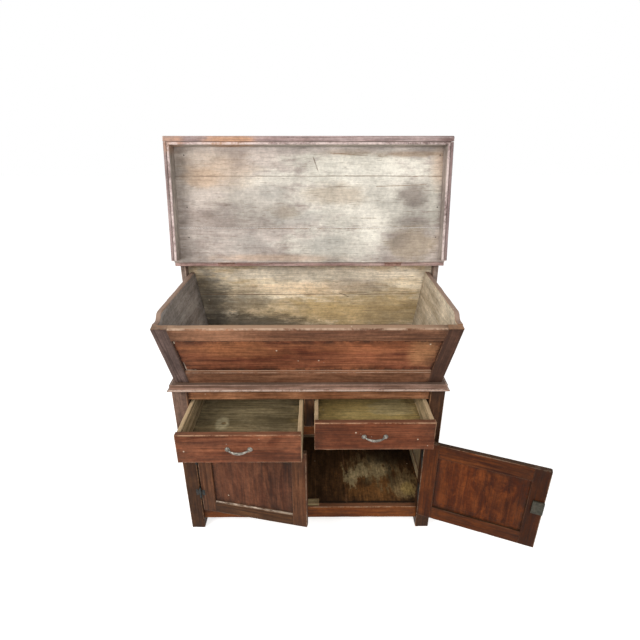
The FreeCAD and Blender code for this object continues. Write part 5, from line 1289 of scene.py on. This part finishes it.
lock_low = (DOOR_FREE, DOOR_BACK, LOCK_MIDDLE - LOCK_HALF)
lock_high = (DOOR_FREE + LOCK_WIDTH, LOCK_BACK, LOCK_MIDDLE + LOCK_HALF)
plank("rim_lock", lock_low, lock_high, 2, STEEL, "door_right", ["lock_case"], "lock_steel",
      pose=door_pose(RIGHT), radius=1.2 * MM, nick=0.25, end_round=1.2 * MM)
RIVET = np.array([(2.6, 0), (2.5, 0.5), (1.8, 0.9), (0.2, 1.1)]) * MM
RIVET_INSET = 6 * MM
rivets = [(lock_low[0] + a, LOCK_BACK, lock_low[2] + b) for a in (RIVET_INSET, LOCK_WIDTH - RIVET_INSET)
          for b in (RIVET_INSET, 2 * LOCK_HALF - RIVET_INSET)]
rivet_skins = [door_pose(RIGHT)(lathe(RIVET, spot, (0, 1, 0))) for spot in rivets]
dress(put_skins("lock_rivets", rivet_skins), STEEL, "door_right", [])

# Nails

NAIL = np.array([(2.4, 0), (2.4, 0.4), (1.6, 0.7), (0.2, 0.8)]) * MM
NAIL_SIDES, NAIL_INSET, NAIL_LEVELS = 10, 0.03, (0.075, 0.48, 0.65)
LID_NAIL_X, LID_NAIL_Y = (-0.495, 0.52), (0.07, -0.05, -0.25)
BACK_PITCH = 2 * OPENING / BACK_BOARDS
back_nails = [(begin + offset, BACK, z) for begin in np.arange(BACK_BOARDS) * BACK_PITCH - OPENING
              for offset in (NAIL_INSET, BACK_PITCH - NAIL_INSET) for z in NAIL_LEVELS]
back_skins = [lathe(NAIL, spot, (0, 1, 0), NAIL_SIDES) for spot in back_nails]
dress(put_skins("back_nails", back_skins), IRON, "carcass", [])
lid_nails = [(x, y, LID_LOW) for x in LID_NAIL_X for y in LID_NAIL_Y]
lid_skins = [lid_pose(lathe(NAIL, spot, (0, 0, -1), NAIL_SIDES)) for spot in lid_nails]
dress(put_skins("lid_nails", lid_skins), IRON, "lid", [])

# CAD nodes that keep their own shape

KEPT = {
    HIDDEN_WOOD: ("rear_rails", "floor_cleats", "drawer_runners", "drawer_guides"),
    IRON: ("door_hinge_post_leaves", "door_hinge_pins", "door_left_hinge_leaves", "door_right_hinge_leaves"),
    PAINTED_IRON: ("lid_hinge_strip_leaves", "lid_hinge_pins", "lid_hinge_lid_leaves"),
    STEEL: ("lock_bolt",),
}
for finish, names in KEPT.items():
    for name in names:
        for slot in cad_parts[name].material_slots:
            slot.material = finish

# Floor, light and camera

FLOOR_HALF, FLOOR_TONE, FLOOR_ROUGHNESS = 14.0, (0.82, 0.82, 0.82), 0.9
FLOOR_LIFT, SKY_STRENGTH, WHITE, LAMP_TONE = 0.62, 0.52, (1.0, 1.0, 1.0), (1.0, 0.97, 0.93)


def seen_rays(web):
    """1 for rays from the camera, and for the reflected and refracted ones that show the backdrop."""
    path = web.add("ShaderNodeLightPath").outputs
    return web.math("MAXIMUM", path["Is Camera Ray"],
                    web.math("MAXIMUM", path["Is Glossy Ray"], path["Is Transmission Ray"]))


white_floor, floor_web, floor_shader = new_material("white_floor")
floor_shader.inputs["Base Color"].default_value = colour(FLOOR_TONE)
floor_shader.inputs["Roughness"].default_value = FLOOR_ROUGHNESS
floor_shader.inputs["Emission Color"].default_value = colour(WHITE)
floor_web.feed(floor_shader.inputs["Emission Strength"],
               floor_web.math("MULTIPLY", seen_rays(floor_web), FLOOR_LIFT))
floor_mesh = bpy.data.meshes.new("studio_floor")
floor_corners = rectangle((-FLOOR_HALF, -FLOOR_HALF), (FLOOR_HALF, FLOOR_HALF))
floor_mesh.from_pydata([(x, y, 0) for x, y in floor_corners], [], [(0, 1, 2, 3)])
floor_mesh.materials.append(white_floor)
floor = bpy.data.objects.new("studio_floor", floor_mesh)
bpy.context.scene.collection.objects.link(floor)

world = bpy.data.worlds.new("studio")
bpy.context.scene.world = world
world.use_nodes = True
sky = Web(world.node_tree)
backdrop = world.node_tree.nodes["Background"].inputs
backdrop["Color"].default_value = colour(WHITE)
sky.feed(backdrop["Strength"], sky.math("MAXIMUM", seen_rays(sky), SKY_STRENGTH))


def lamp(name, spot, aim, size, power):
    """A round area lamp at one spot, aimed at another."""
    light = bpy.data.lights.new(name, "AREA")
    light.shape = "DISK"
    light.size = size
    light.energy = power
    light.color = LAMP_TONE
    holder = bpy.data.objects.new(name, light)
    holder.location = spot
    holder.rotation_euler = (Vector(aim) - Vector(spot)).to_track_quat("-Z", "Y").to_euler()
    bpy.context.scene.collection.objects.link(holder)


lamp("window", spot=(-2.6, -2.3, 2.3), aim=(0, 0, 0.7), size=2.0, power=80.0)
lamp("room", spot=(0.6, -3.0, 2.5), aim=(0, 0, 0.6), size=2.4, power=48.0)

CAMERA_SPOT, CAMERA_LENS, SENSOR_WIDTH = (0.03418, -1.64088, 1.5659), 25.108, 36.0
CAMERA_PITCH, CAMERA_YAW = math.radians(23.58), math.radians(0.29)
camera_data = bpy.data.cameras.new("photograph")
camera_data.sensor_width = SENSOR_WIDTH
camera_data.lens = CAMERA_LENS
camera = bpy.data.objects.new("photograph", camera_data)
camera.location = CAMERA_SPOT
camera.rotation_euler = (math.pi / 2 - CAMERA_PITCH, 0, -CAMERA_YAW)
bpy.context.scene.collection.objects.link(camera)
bpy.context.scene.camera = camera

bpy.context.scene.view_settings.view_transform = "Standard"
